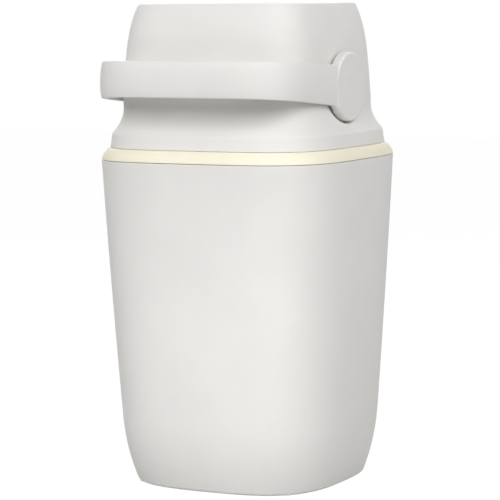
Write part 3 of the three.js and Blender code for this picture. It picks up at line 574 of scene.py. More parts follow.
    def finish(self, name: str) -> bpy.types.Object:
        """Turns the form into an object in metres, shaded smooth up to its sharp edges.

        Args:
            name: The object's name.

        Returns:
            The object.
        """
        self.mesh.normal_update()
        self._mark_wear()
        bmesh.ops.scale(self.mesh, vec=Vector.Fill(3, 1 / MILLIMETRES), verts=self.mesh.verts)
        data = bpy.data.meshes.new(name)
        self.mesh.to_mesh(data)
        self.mesh.free()
        data.shade_smooth()
        data.set_sharp_from_angle(angle=self.SHARP)
        piece = bpy.data.objects.new(name, data)
        bpy.context.scene.collection.objects.link(piece)
        shading = piece.modifiers.new("Even shading", "WEIGHTED_NORMAL")
        shading.keep_sharp = True
        return piece


def turned(profile: Sequence[tuple[float, float]], axis: Axis = Axis.Z, sides: int = 128) -> Form:
    """Turns a profile about an axis through the origin.

    Args:
        profile: Pairs of radius and height along the axis. The last joins the first, unless both lie on it.
        axis: The axis.
        sides: How many steps a full turn takes.

    Returns:
        The solid.
    """
    form = Form()
    away = Vector((0, 1, 0))
    points = [form.mesh.verts.new(away * radius + axis.value * height) for radius, height in profile]
    pairs = list(zip(points, points[1:]))
    if profile[0][0] > 0 or profile[-1][0] > 0:
        pairs.append((points[-1], points[0]))
    edges = [form.mesh.edges.new(pair) for pair in pairs]
    bmesh.ops.spin(
        form.mesh,
        geom=[*points, *edges],
        cent=(0, 0, 0),
        axis=axis.value,
        angle=math.tau,
        steps=sides,
        use_merge=True,
        use_duplicate=False,
    )
    return form.weld()


def rod(radius: float, start: float, end: float, axis: Axis = Axis.Z, sides: int = 64) -> Form:
    """Makes a cylinder about an axis.

    Args:
        radius: Its radius.
        start: Where it starts along the axis.
        end: Where it ends along the axis.
        axis: The axis.
        sides: How many sides it has.

    Returns:
        The cylinder.
    """
    form = Form()
    bmesh.ops.create_cone(
        form.mesh, cap_ends=True, segments=sides, radius1=radius, radius2=radius, depth=abs(end - start)
    )
    form.shifted(z=(start + end) / 2)
    return form.moved(Matrix.Rotation(math.pi / 2, 4, "Y")) if axis is Axis.X else form


def block(low: Sequence[float], high: Sequence[float]) -> Form:
    """Makes a block from its lowest to its highest corner.

    Args:
        low: The lowest corner.
        high: The highest corner.

    Returns:
        The block.
    """
    form = Form()
    bmesh.ops.create_cube(form.mesh, size=1.0)
    size = Vector([abs(b - a) for a, b in zip(low, high)])
    middle = Vector([(a + b) / 2 for a, b in zip(low, high)])
    return form.moved(Matrix.Translation(middle) @ Matrix.Diagonal((*size, 1.0)))


def turn_towards(place: tuple[float, float]) -> Matrix:
    """Returns the turn about the upright axis that points X at a place."""
    x, y = place
    return Matrix.Rotation(math.atan2(y, x), 4, "Z")


def ring_solid(levels: Sequence[Level], sides: int) -> Form:
    """Runs a section round the shells' outline and back to its start.

    Args:
        levels: The section's corners, in order.
        sides: How many points each ring has.

    Returns:
        The closed ring.
    """
    form = Form()
    rim = form.circle(levels[0], sides)
    form.climb(rim, [*levels[1:], levels[0]])
    return form.weld()


def stack_solid(levels: Sequence[Level], sides: int) -> Form:
    """Stacks rings into a solid with flat ends.

    Args:
        levels: The rings, in order.
        sides: How many points each ring has.

    Returns:
        The solid.
    """
    form = Form()
    first = form.circle(levels[0], sides)
    last = form.climb(first, levels[1:])
    form.close(first)
    form.close(last)
    return form.weld()


class Wire:
    """A number on its way through a material's nodes. Arithmetic on it adds Math nodes."""

    def __init__(self, graph: "Graph", socket: bpy.types.NodeSocket) -> None:
        """Holds the socket that gives the number, and the graph that it is in."""
        self.graph = graph
        self.socket = socket

    def _maths(self, operation: str, first: Source, second: Source) -> "Wire":
        """Adds a Math node and returns its result."""
        node = self.graph.node("ShaderNodeMath", {"operation": operation}, {0: first, 1: second})
        return Wire(self.graph, node.outputs[0])

    def __add__(self, other: Source) -> "Wire":
        """Returns the sum."""
        return self._maths("ADD", self, other)

    def __radd__(self, other: Source) -> "Wire":
        """Returns the sum with a number on the left."""
        return self._maths("ADD", other, self)

    def __sub__(self, other: Source) -> "Wire":
        """Returns the difference."""
        return self._maths("SUBTRACT", self, other)

    def __rsub__(self, other: Source) -> "Wire":
        """Returns a number less this one."""
        return self._maths("SUBTRACT", other, self)

    def __mul__(self, other: Source) -> "Wire":
        """Returns the product."""
        return self._maths("MULTIPLY", self, other)

    def __rmul__(self, other: Source) -> "Wire":
        """Returns the product with a number on the left."""
        return self._maths("MULTIPLY", other, self)

    def larger(self, other: Source) -> "Wire":
        """Returns the larger of the two numbers."""
        return self._maths("MAXIMUM", self, other)

    def sway(self, amount: float) -> "Wire":
        """Returns a noise as a sway about 0, over so many units."""
        return (self - 0.5) * amount

    def between(self, low: float, high: float) -> "Wire":
        """Returns a smooth rise from 0 to 1 as the number goes from low to high."""
        settings = {"interpolation_type": "SMOOTHSTEP", "clamp": True}
        sockets = {"Value": self, "From Min": low, "From Max": high}
        return Wire(self.graph, self.graph.node("ShaderNodeMapRange", settings, sockets).outputs["Result"])


@dataclass(frozen=True)
class Noise:
    """A soft noise.

    Attributes:
        size: How large its blotches are, in millimetres.
        detail: How many finer layers it has.
        stretch: How the pattern is squeezed along each axis.
        roughness: How strong the finer layers are.
    """

    size: float
    detail: float = 2.0
    stretch: Stretch = (1.0, 1.0, 1.0)
    roughness: float = 0.55


class Graph:
    """The nodes of a material or of the world, which end at its output."""

    def __init__(self, owner: bpy.types.Material | bpy.types.World) -> None:
        """Clears the owner's nodes and adds an output.

        Args:
            owner: The material or the world.
        """
        owner.use_nodes = True
        self.owner = owner
        self.tree = owner.node_tree
        self.tree.nodes.clear()
        kind = "World" if isinstance(owner, bpy.types.World) else "Material"
        self.output = self.node(f"ShaderNodeOutput{kind}")

    def node(
        self,
        kind: str,
        settings: Mapping[str, Any] | None = None,
        sockets: Mapping[str | int, Source] | None = None,
    ) -> bpy.types.Node:
        """Adds a node.

        Args:
            kind: The node's type.
            settings: Its properties, set first.
            sockets: Values or links of its inputs, by name or number.

        Returns:
            The node.
        """
        node = self.tree.nodes.new(kind)
        for key, value in (settings or {}).items():
            setattr(node, key, value)
        for key, value in (sockets or {}).items():
            source = value.socket if isinstance(value, Wire) else value
            if isinstance(source, bpy.types.NodeSocket):
                self.tree.links.new(source, node.inputs[key])
            else:
                node.inputs[key].default_value = source
        return node

    def end(self, shader: bpy.types.Node) -> None:
        """Links the last shader to the output."""
        self.tree.links.new(shader.outputs[0], self.output.inputs["Surface"])

    def place(self, stretch: Stretch = (1.0, 1.0, 1.0)) -> bpy.types.NodeSocket:
        """Returns object coordinates in millimetres, stretched along the axes."""
        where = self.node("ShaderNodeTexCoord").outputs["Object"]
        scale = tuple(MILLIMETRES * part for part in stretch)
        return self.node("ShaderNodeMapping", sockets={"Vector": where, "Scale": scale}).outputs["Vector"]

    def noise(self, pattern: Noise) -> Wire:
        """Returns a noise, around 0.5."""
        sockets = {
            "Vector": self.place(pattern.stretch),
            "Scale": 1 / pattern.size,
            "Detail": pattern.detail,
            "Roughness": pattern.roughness,
        }
        return Wire(self, self.node("ShaderNodeTexNoise", sockets=sockets).outputs["Fac"])

    def cells(self, size: float) -> Wire:
        """Returns the distance to the nearest of many scattered points, about a size in millimetres apart."""
        sockets = {"Vector": self.place(), "Scale": 1 / size}
        return Wire(self, self.node("ShaderNodeTexVoronoi", sockets=sockets).outputs["Distance"])

    def wear(self) -> Wire:
        """Returns how worn each point is, from 0 on flats to 1 on edges."""
        node = self.node("ShaderNodeAttribute", {"attribute_name": Form.WEAR})
        return Wire(self, node.outputs["Fac"])

    def mix(self, share: Source, first: Source, second: Source) -> bpy.types.NodeSocket:
        """Mixes a share of the second colour into the first one and returns the result."""
        # A Mix node has its colours at inputs 6 and 7 and at output 2.
        sockets = {0: share, 6: self._colour(first), 7: self._colour(second)}
        return self.node("ShaderNodeMix", {"data_type": "RGBA"}, sockets).outputs[2]

    @staticmethod
    def _colour(value: Source) -> Source:
        """Gives a written colour its alpha."""
        return (*value, 1.0) if isinstance(value, tuple) else value

    def relief(self, height: Wire, depth: float, strength: float = 1.0, under: Source = None) -> Source:
        """Adds a Bump node.

        Args:
            height: The height, from 0 to 1.
            depth: How deep the relief is, in millimetres.
            strength: How much of it shows.
            under: The normal that it lies on.

        Returns:
            The bumped normal.
        """
        sockets = {"Height": height, "Distance": depth / MILLIMETRES, "Strength": strength}
        if under is not None:
            sockets["Normal"] = under
        return self.node("ShaderNodeBump", sockets=sockets).outputs["Normal"]

    def surface(
        self, colour: Source, roughness: Source, normal: Source, others: Mapping[str, float] | None = None
    ) -> bpy.types.Material:
        """Ends a material with its Principled shader and returns it. Others holds more of its values."""
        sockets = {"Base Color": colour, "Roughness": roughness, "Normal": normal, **(others or {})}
        self.end(self.node("ShaderNodeBsdfPrincipled", sockets=sockets))
        return self.owner


def scaled(colour: Colour, *factors: float) -> Colour:
    """Multiplies a colour by one factor, or by a factor for each channel."""
    parts = factors if len(factors) == len(colour) else factors * len(colour)
    return tuple(min(channel * part, 1.0) for channel, part in zip(colour, parts))


@dataclass(frozen=True)
class Finish(ABC):
    """A finish of one slot.

    Attributes:
        slot: The record's slot that it fills.
        colour: Its colour.
        roughness: How rough it is.
    """

    slot: Slot
    colour: Colour
    roughness: float

    def make(self) -> bpy.types.Material:
        """Returns the material, named after its slot."""
        return self._dress(Graph(bpy.data.materials.new(self.slot.value)))

    @abstractmethod
    def _dress(self, graph: Graph) -> bpy.types.Material:
        """Adds the finish's nodes and returns the material."""


@dataclass(frozen=True)
class MouldedPlastic(Finish):
    """Satin moulded plastic: a fine eroded grain, faint flow clouds and edges polished by hands.

    Attributes:
        grain: The depth of its grain, in millimetres.
        grain_strength: How much of the grain shows.
        ripple: The depth of the slow ripple of its walls, in millimetres.
        wear: How much its edges are worn.
        mottle: How much lighter or darker the clouds make it.
        paling: How pale a worn edge turns.
        unevenness: How much the grain and the clouds change the roughness.
        scuffing: How much rougher the scuffs are.
        polish: How much smoother a worn edge is.
    """

    grain: float = 0.03
    grain_strength: float = 0.6
    ripple: float = 0.12
    wear: float = 0.5
    mottle: float = 0.015
    paling: float = 0.35
    unevenness: float = 0.08
    scuffing: float = 0.03
    polish: float = 0.16

    FINE = Noise(0.9)
    RIPPLES = Noise(42.0, 1.0)
    CLOUDS = Noise(95.0, 3.0)
    SCUFFS = Noise(6.0, 4.0, (1.0, 1.0, 0.35))
    CLOUDED = (0.35, 0.65)
    SCUFFED = (0.55, 0.75)
    PALE = 1.05
    GLOSS = {"IOR": 1.45, "Specular IOR Level": 0.4}

    def _dress(self, graph: Graph) -> bpy.types.Material:
        """Adds the finish's nodes and returns the material."""
        clouds = graph.noise(self.CLOUDS)
        fine = graph.noise(self.FINE)
        scuffs = graph.noise(self.SCUFFS).between(*self.SCUFFED)
        edges = graph.wear() * self.wear
        dark, light = scaled(self.colour, 1 - self.mottle), scaled(self.colour, 1 + self.mottle)
        flow = graph.mix(clouds.between(*self.CLOUDED), dark, light)
        base = graph.mix(edges * self.paling, flow, scaled(self.colour, self.PALE))
        uneven = self.roughness + fine.sway(self.unevenness) + clouds.sway(self.unevenness)
        rough = uneven + scuffs * self.scuffing - edges * self.polish
        slow = graph.relief(graph.noise(self.RIPPLES), self.ripple)
        normal = graph.relief(fine, self.grain, self.grain_strength, slow)
        return graph.surface(base, rough, normal, self.GLOSS)


@dataclass(frozen=True)
class Acetal(Finish):
    """Machined bearing plastic: smooth, slightly waxy, with fine turning marks.

    Attributes:
        mark_depth: The depth of the marks, in millimetres.
        shade: How dark the marks are, as painted shade in their grooves.
        unevenness: How much the marks change the roughness.
    """

    mark_depth: float = 0.01
    shade: float = 0.97
    unevenness: float = 0.1

    MARKS = Noise(0.5, 1.0, (1.0, 0.05, 0.05))

    def _dress(self, graph: Graph) -> bpy.types.Material:
        """Adds the finish's nodes and returns the material."""
        marks = graph.noise(self.MARKS)
        # The low lines of the marks are painted slightly darker, as painted shade in their grooves.
        base = graph.mix(marks, scaled(self.colour, self.shade), self.colour)
        rough = self.roughness + marks.sway(self.unevenness)
        return graph.surface(base, rough, graph.relief(marks, self.mark_depth))


@dataclass(frozen=True)
class Foam(Finish):
    """Closed cell foam: small skinned cells, very matt, with painted shade in the hollow middle of each cell
    and painted light on its raised edge.

    Attributes:
        cell: How far apart its cells are, in millimetres.
        cell_depth: How deep they are, in millimetres.
        cell_strength: How much of them shows.
        cell_share: How much of the relief is cells. The rest is fine noise.
        painted_pit_shades: How dark the hollow middle of a cell is painted, as shade, and how light its
            raised edge is painted, as light.
        unevenness: How much the roughness varies.
    """

    cell: float = 1.1
    cell_depth: float = 0.35
    cell_strength: float = 0.8
    cell_share: float = 0.8
    painted_pit_shades: tuple[float, float] = (0.7, 1.5)
    unevenness: float = 0.1

    FINE = Noise(0.4, 3.0)
    CELL_EDGE = (0.1, 0.7)

    def _dress(self, graph: Graph) -> bpy.types.Material:
        """Adds the finish's nodes and returns the material."""
        cells = graph.cells(self.cell)
        fine = graph.noise(self.FINE)
        # Each cell's hollow middle is painted darker, as painted shade, and its raised edge lighter, as
        # painted light.
        dark, light = (scaled(self.colour, shade) for shade in self.painted_pit_shades)
        base = graph.mix(cells.between(*self.CELL_EDGE), dark, light)
        height = cells * self.cell_share + fine * (1 - self.cell_share)
        rough = self.roughness + fine.sway(self.unevenness)
        return graph.surface(base, rough, graph.relief(height, self.cell_depth, self.cell_strength))


@dataclass(frozen=True)
class Rubber(Finish):
    """Soft moulded rubber: dark, matt, with a dusty bloom on its edges.

    Attributes:
        grain: The depth of its grain, in millimetres.
        grain_strength: How much of the grain shows.
        dusting: How much of the bloom shows.
        edge_dusting: How much of it shows on edges.
        dust: How light the bloom is.
        dust_roughness: How much rougher the bloom is.
        unevenness: How much the grain changes the roughness.
    """

    grain: float = 0.04
    grain_strength: float = 0.7
    dusting: float = 0.35
    edge_dusting: float = 0.3
    dust: float = 1.9
    dust_roughness: float = 0.12
    unevenness: float = 0.08

    BLOOM = Noise(9.0, 4.0)
    FINE = Noise(0.6)
    DUSTED = (0.45, 0.8)

    def _dress(self, graph: Graph) -> bpy.types.Material:
        """Adds the finish's nodes and returns the material."""
        bloom = graph.noise(self.BLOOM).between(*self.DUSTED)
        fine = graph.noise(self.FINE)
        share = bloom * self.dusting + graph.wear() * self.edge_dusting
        base = graph.mix(share, self.colour, scaled(self.colour, self.dust))
        rough = self.roughness + bloom * self.dust_roughness + fine.sway(self.unevenness)
        return graph.surface(base, rough, graph.relief(fine, self.grain, self.grain_strength))


@dataclass(frozen=True)
class ZincSteel(Finish):
    """Zinc plated steel: a bluish grey bloom with brighter edges.

    Attributes:
        grain: The depth of its grain, in millimetres.
        shade: How dark its dull stretches are.
        unevenness: How much the bloom changes the roughness.
        polish: How much smoother an edge is.
    """

    grain: float = 0.008
    shade: float = 0.9
    unevenness: float = 0.2
    polish: float = 0.08

    BLOOM = Noise(3.0, 4.0)
    FINE = Noise(0.25)
    BLOOMED = (0.3, 0.7)
    BRIGHT = (1.08, 1.06, 1.0)

    def _dress(self, graph: Graph) -> bpy.types.Material:
        """Adds the finish's nodes and returns the material."""
        bloom = graph.noise(self.BLOOM)
        fine = graph.noise(self.FINE)
        dull, bright = scaled(self.colour, self.shade), scaled(self.colour, *self.BRIGHT)
        base = graph.mix(bloom.between(*self.BLOOMED), dull, bright)
        rough = self.roughness + bloom.sway(self.unevenness) - graph.wear() * self.polish
        return graph.surface(base, rough, graph.relief(fine, self.grain), {"Metallic": 1.0})


class Workshop:
    """Turns forms into dressed pieces that ride on their bodies."""

    def __init__(self, finishes: Iterable[Finish]) -> None:
        """Makes the materials, one for each slot."""
        self.materials = {finish.slot: finish.make() for finish in finishes}

    def piece(self, form: Form, name: str, body: Body, slot: Slot, node: str) -> None:
        """Finishes a form that stands for a node of the frame.

        Args:
            form: The form.
            name: The piece's name.
            body: The body that it rides on.
            slot: The slot of its finish.
            node: The node that it replaces.
        """
        piece = form.finish(name)
        piece.data.materials.append(self.materials[slot])
        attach(piece, body.value)
        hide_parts(node)
        LOG.info("%s rides on %s with %d faces", name, body.value, len(piece.data.polygons))


@dataclass(frozen=True)
class Bucket:
    """The tapered bucket with its standing ring and pad."""

    sides: int = 128
    wall: float = 3.0
    floor: float = 4.0
    ring_width: float = 20.0
    recess: float = 1.5
    pad_radius: float = 26.0
    foot_edge: Round = Round(3.0, 6)
    recess_edge: Round = Round(0.6, 2)
    rim_edge: Round = Round(0.9, 4)
    floor_edge: Round = Round(3.0, 4)
    foot_rows: int = 24
    wall_rows: int = 26
    inner_foot_rows: int = 16

    def build(self, shop: Workshop) -> None:
        """Makes the bucket.

        Args:
            shop: Where it is finished.
        """
        form = Form()
        ring = LINES.bucket(0.0).inset(self.foot_edge.radius + self.ring_width)
        pad = Level(0.0, self.pad_radius)
        upper = steps(LINES.foot_height, LINES.rim_z, self.wall_rows)
        outside = [*steps(0, LINES.foot_height, self.foot_rows), *upper[1:]]
        inside = [*reversed(upper), *steps(LINES.foot_height, self.floor, self.inner_foot_rows)[1:]]
        outer = [LINES.bucket(z) for z in outside]
        inner = [LINES.bucket(z).inset(self.wall) for z in inside]
        middle = form.circle(pad, self.sides)
        rim = form.climb(middle, [pad.at(self.recess), ring.at(self.recess), ring, *outer, *inner])
        form.close(middle)
        form.close(rim)
        form.weld()
        on_ring = ring.half + 2 * OVERLAP
        form.ease(self.foot_edge, lambda p: p.z < NEAR and self._off_middle(p) > on_ring)
        form.ease(self.recess_edge, lambda p: p.z < self.recess + NEAR and self._off_middle(p) < on_ring)
        form.ease(self.rim_edge, above(LINES.rim_z))
        form.ease(self.floor_edge, lambda p: abs(p.z - self.floor) < NEAR)
        shop.piece(form, "bucket", Body.BUCKET, Slot.SHELL, "bucket_shell")

    @staticmethod
    def _off_middle(point: Vector) -> float:
        """Returns how far a point is from the bin's middle, along X or Y."""
        return max(abs(point.x), abs(point.y))


@dataclass(frozen=True)
class RearHinge:
    """The sizes that the collar's and the head's knuckles share."""

    radius: float = 4.5
    bore_radius: float = 2.1
    edge: Round = Round(0.5, 3)
    pin_sides: int = 48
    pin_edge: Round = Round(0.4, 3)

    @property
    def axis(self) -> Vector:
        """A point of the hinge's axis."""
        return joint_point("head_tilt")

    def _placed(self, form: Form) -> Form:
        """Moves a form from the origin to the hinge's axis and returns it."""
        return form.shifted(y=self.axis.y, z=self.axis.z)

    def tube(self, start: float, end: float) -> Form:
        """Makes a knuckle's tube from one place along X to another."""
        return self._placed(rod(self.radius, start, end, Axis.X).ease(self.edge))

    def bore(self, end: float) -> Form:
        """Makes the room for the pin, which runs past a knuckle's end at both sides."""
        return self._placed(rod(self.bore_radius, -end - OVERLAP, end + OVERLAP, Axis.X))

    def pin(self) -> Form:
        """Makes the pin, of the size that it has in the frame."""
        low, high = node_box("hinge_pin")
        pin = rod((high.z - low.z) / 2, low.x, high.x, Axis.X, self.pin_sides)
        return self._placed(pin.ease(self.pin_edge))


HINGE = RearHinge()


@dataclass(frozen=True)
class CollarRing:
    """The cream ring on the bucket's rim, with the head's shelf, the hinge's outer knuckles and its pin."""

    sides: int = 160
    shoulder_width: float = 8.4
    shoulder_power: float = 1.43
    shoulder_rows: int = 20
    wall: float = 3.0
    bag_gap: float = 0.7
    shelf_width: float = 19.0
    shelf_thickness: float = 4.0
    skirt_depth: float = 15.0
    skirt_taper: float = 1.0
    edge: Round = Round(0.5, 3)
    knuckle_start: float = 24.3
    knuckle_width: float = 21.0
    web_root: float = 2.0
    web_foot_rise: float = 6.7
    web_reach: float = 2.25
    room_rise: float = 6.0

    @property
    def knuckle_end(self) -> float:
        """How far out the knuckles reach along X."""
        return self.knuckle_start + self.knuckle_width

    @property
    def shelf_top(self) -> float:
        """Height of the shelf that the head rests on."""
        return LINES.head_foot - SEAT_GAP

    def build(self, shop: Workshop) -> None:
        """Makes the collar and the hinge's pin.

        Args:
            shop: Where they are finished.
        """
        form = ring_solid(self._section(), self.sides)
        form.ease(self.edge)
        for side in Side:
            form.add(*self._knuckle(side))
        room = [LINES.head(z).inset(-SEAT_GAP) for z in (LINES.head_foot, HINGE.axis.z + self.room_rise)]
        head_room = stack_solid([room[0].at(self.shelf_top + SLIVER), room[1]], self.sides)
        form.cut(HINGE.bore(self.knuckle_end), head_room)
        shop.piece(form, "collar", Body.COLLAR, Slot.CREAM, "collar_ring")
        shop.piece(HINGE.pin(), "hinge_rod", Body.COLLAR, Slot.STEEL, "hinge_pin")

    def _section(self) -> list[Level]:
        """Returns the corners of the ring's section."""
        foot = LINES.collar_foot
        rise = self.shelf_top - foot
        bend = 2 / self.shoulder_power
        seat = LINES.skirt_half + SEAT_GAP
        shoulder = [
            (seat + self.shoulder_width * math.cos(a) ** bend, foot + rise * math.sin(a) ** bend)
            for a in quarter_turn(self.shoulder_rows)
        ]
        outer = LINES.rim_half - self.wall - self.bag_gap
        inner = outer - self.wall
        low = foot - self.skirt_depth
        shelf_foot = self.shelf_top - self.shelf_thickness
        points = [
            *shoulder,
            (seat - self.shelf_width, self.shelf_top),
            (seat - self.shelf_width, shelf_foot),
            (inner, shelf_foot),
            (inner - self.skirt_taper, low),
            (outer - self.skirt_taper, low),
            (outer, foot),
        ]
        return [Level(z, half, LINES.skirt_square) for half, z in points]

    def _knuckle(self, side: Side) -> list[Form]:
        """Returns the tube and the web of the outer knuckle on one side."""
        start, end = sorted((side.value * self.knuckle_start, side.value * self.knuckle_end))
        web = block(
            (start + SLIVER, LINES.skirt_half - self.web_root, LINES.collar_foot + self.web_foot_rise),
            (end - SLIVER, HINGE.axis.y + self.web_reach, HINGE.axis.z),
        )
        return [HINGE.tube(start, end), web]


@dataclass(frozen=True)
class HeadHousing:
    """The flared head: a skirt, a concave neck and a tower with a round pocket at each side.

    Attributes:
        window: Half of the height of the patch of wall that a pocket replaces.
        window_columns: How many columns of faces the patch has at each side of the axle.
        window_depth: How far inside the tower's face the patch may lie.
    """

    sides: int = 160
    wall: float = 3.0
    top_radius: float = 2.0
    top_rows: int = 6
    skirt_rows: int = 4
    crease_rows: int = 8
    tower_rows: int = 15
    inner_rows: int = 8
    inner_row_drop: float = 6.0
    edge: Round = Round(0.6, 3)
    mouth_radius: float = 84.3
    pocket_radius: float = 41.0
    pocket_depth: float = 2.8
    pocket_edge: float = 3.6
    pocket_edge_rows: int = 8
    pocket_corner: float = 0.8
    pocket_corner_rows: int = 4
    pocket_floor_rings: tuple[float, ...] = (36.0, 28.0)
    boss_radius: float = 44.5
    boss_thickness: float = 4.5
    bush_hole: float = 20.0
    window: float = 46.5
    window_rows: int = 30
    window_columns: int = 7
    window_depth: float = 15.0
    knuckle_half: float = 24.0
    web_inset: float = 0.8
    web_root: float = 0.5
    post_height: float = 62.0
    rib_thickness: float = 2.6
    rib_rise: float = 12.0
    rib_overhang: float = 6.0
    rib_margin: float = 2.0
    rib_root: float = 0.5
    stop_thickness: float = 10.0
    room_rows: int = 24

    def build(self, shop: Workshop) -> None:
        """Makes the head.

        Args:
            shop: Where it is finished.
        """
        form = self._shell()
        for side in Side:
            self._pocket(form, side)
        form.weld()
        mouth = self.mouth_radius + OVERLAP
        on_ceiling = above(LINES.top - self.wall)
        form.ease(self.edge, lambda p: on_ceiling(p) and off_axis(p) < mouth)
        form.ease(self.edge, below(LINES.head_foot))
        self._hinge(form)
        self._fittings(form)
        shop.piece(form, "head", Body.HEAD, Slot.SHELL, "head_housing")

    @property
    def pocket_floor(self) -> float:
        """How far out the floor of a pocket lies along X."""
        return LINES.tower_half - self.pocket_depth

    @property
    def boss_face(self) -> float:
        """How far out the inner face of a bearing boss lies along X."""
        return self.pocket_floor - self.boss_thickness

    def _shell(self) -> Form:
        """Makes the shell without its pockets."""
        low, high = LINES.pivot.z - self.window, LINES.pivot.z + self.window
        ceiling = LINES.top - self.wall
        crease = steps(LINES.neck_foot - LINES.crease, LINES.neck_foot + LINES.crease, self.crease_rows)
        skirt = steps(LINES.head_foot, crease[0], self.skirt_rows)[:-1]
        window = steps(low, high, self.window_rows)
        tower = steps(high, LINES.top - self.top_radius, self.tower_rows)[1:]
        outer = [LINES.head(z) for z in (*skirt, *crease, *window, *tower)]
        for a in quarter_turn(self.top_rows)[1:]:
            level = LINES.head(LINES.top - self.top_radius * (1 - math.sin(a)))
            outer.append(level.inset(self.top_radius * (1 - math.cos(a))))
        mouth = Level(LINES.top, self.mouth_radius)
        upper = [ceiling, *steps(ceiling - self.inner_row_drop, high, self.inner_rows)]
        inside = [*upper, *reversed(window[:-1]), LINES.neck_foot, LINES.head_foot]
        inner = [LINES.head(z).inset(self.wall) for z in inside]
        form = Form()
        first = form.circle(outer[0], self.sides)
        form.climb(first, [*outer[1:], mouth, mouth.at(ceiling), *inner, outer[0]])
        return form.weld()

    def _pocket(self, form: Form, side: Side) -> None:
        """Opens a side of the shell and makes the round pocket, the bearing boss and the bush's hole.

        Args:
            form: The shell.
            side: Which side.
        """
        pivot = LINES.pivot
        widest = math.tau * self.window_columns / self.sides
        window_y = LINES.head(pivot.z).point(widest).y

        def inside_window(face: bmesh.types.BMFace) -> bool:
            """Says whether a face is in the part of the wall that the pocket takes."""
            middle = face.calc_center_median()
            beside = middle.x * side.value > LINES.tower_half - self.window_depth
            return beside and abs(middle.y) < window_y and abs(middle.z - pivot.z) < self.window

        gone = [face for face in form.mesh.faces if inside_window(face)]
        bmesh.ops.delete(form.mesh, geom=gone, context="FACES")
        around, turn = form.layer("around"), form.layer("turn")
        outer: Edges = []
        inner: Edges = []
        for edge in form.mesh.edges:
            if not edge.is_boundary or edge.verts[0].co.x * side.value < 0:
                continue
            for point in edge.verts:
                share = min(abs(point[turn]), math.pi - abs(point[turn])) / widest
                column = math.copysign(min(share, 1.0), point.co.y)
                row = (point.co.z - pivot.z) / self.window
                point[around] = self._round_angle(column, row)
            place = edge.verts[0].co
            on_skin = LINES.head(place.z).face_x(place.y) - abs(place.x) < self.wall / 2
            (outer if on_skin else inner).append(edge)

        def ring(rim: Edges, radius: float, skin: float, depth: Callable[[float], float]) -> Edges:
            """Grows a rim to a circle about the axle.

            Args:
                rim: The edges.
                radius: The circle's radius.
                skin: How far under the outer skin the surface lies.
                depth: Gives the place along X from that of the surface.

            Returns:
                The new rim.
            """

            def on_circle(point: bmesh.types.BMVert) -> Vector:
                """Puts a point on the circle."""
                y, up = radius * math.cos(point[around]), radius * math.sin(point[around])
                level = LINES.head(pivot.z + up).inset(skin)
                return Vector((side.value * depth(level.face_x(y)), y, pivot.z + up))

            return form.grow(rim, on_circle)

        floor, boss = self.pocket_floor, self.boss_face
        outer = ring(outer, self.pocket_radius + self.pocket_edge + OVERLAP, 0, lambda x: x)
        for a in quarter_turn(self.pocket_edge_rows):
            radius = self.pocket_radius + self.pocket_edge * (1 - math.sin(a))
            drop = self.pocket_edge * (1 - math.cos(a))
            outer = ring(outer, radius, 0, lambda x, drop=drop: max(x - drop, min(x, floor)))
        for a in quarter_turn(self.pocket_corner_rows):
            radius = self.pocket_radius - self.pocket_corner * (1 - math.cos(a)) - 2 * SLIVER
            lift = self.pocket_corner * (1 - math.sin(a))
            outer = ring(outer, radius, 0, lambda x, lift=lift: min(x, floor + lift))
        for radius in (*self.pocket_floor_rings, self.bush_hole):
            outer = ring(outer, radius, 0, lambda x: min(x, floor))
        ring(outer, self.bush_hole, 0, lambda x: boss)
        inner = ring(inner, self.boss_radius, self.wall, lambda x: x)
        for radius in (self.boss_radius, self.bush_hole):
            inner = ring(inner, radius, self.wall, lambda x: boss)

    @staticmethod
    def _round_angle(column: float, row: float) -> float:
        """Spreads the points of a square evenly round a circle.

        Args:
            column: The place across the square, from -1 to 1.
            row: The place up the square, from -1 to 1.

        Returns:
            The angle on the circle.
        """
        eighth = math.pi / 4
        if abs(column) >= abs(row):
            return eighth * row if column > 0 else math.pi - eighth * row
        return math.pi / 2 - eighth * column if row > 0 else 3 * math.pi / 2 + eighth * column

    def _fittings(self, form: Form) -> None:
        """Adds the posts for the inlet's and the outlet's screws, and the ribs that stop the rotor's swing.

        Args:
            form: The head.
        """
        inlet, outlet, screw = Inlet(), Outlet(), PanScrew()
        flange = inlet.flange_top
        under_top = LINES.top - self.wall / 2
        fittings, holes = [], []
        for place in inlet.screw_places():
            fittings.append(rod(BALL.post_radius, flange + SEAT_GAP, under_top).shifted(*place))
            holes.append(screw.hole(place, flange, flange + screw.length))
        foot = outlet.top + SEAT_GAP
        top = foot + self.post_height
        for place in outlet.screw_places():
            shell = LINES.head(foot + self.rib_rise).point(math.pi / 4)
            rib = block(
                (math.hypot(*place), -self.rib_thickness / 2, foot + self.rib_rise),
                (off_axis(shell) - self.wall / 2, self.rib_thickness / 2, top),
            )
            fittings.append(rod(BALL.post_radius, foot, top).shifted(*place))
            fittings.append(rib.moved(turn_towards(place)))
            holes.append(screw.hole(place, outlet.bottom, outlet.bottom + screw.length + OVERLAP))
        for side in Side:
            fittings.extend(self._stop_ribs(side))
        levels = steps(LINES.head_foot, under_top, self.room_rows)
        room = stack_solid([LINES.head(z).inset(self.wall / 2) for z in levels], self.sides)
        whole = fittings[0].add(*fittings[1:]).join(room, Joining.KEEP)
        form.add(whole).cut(*holes)

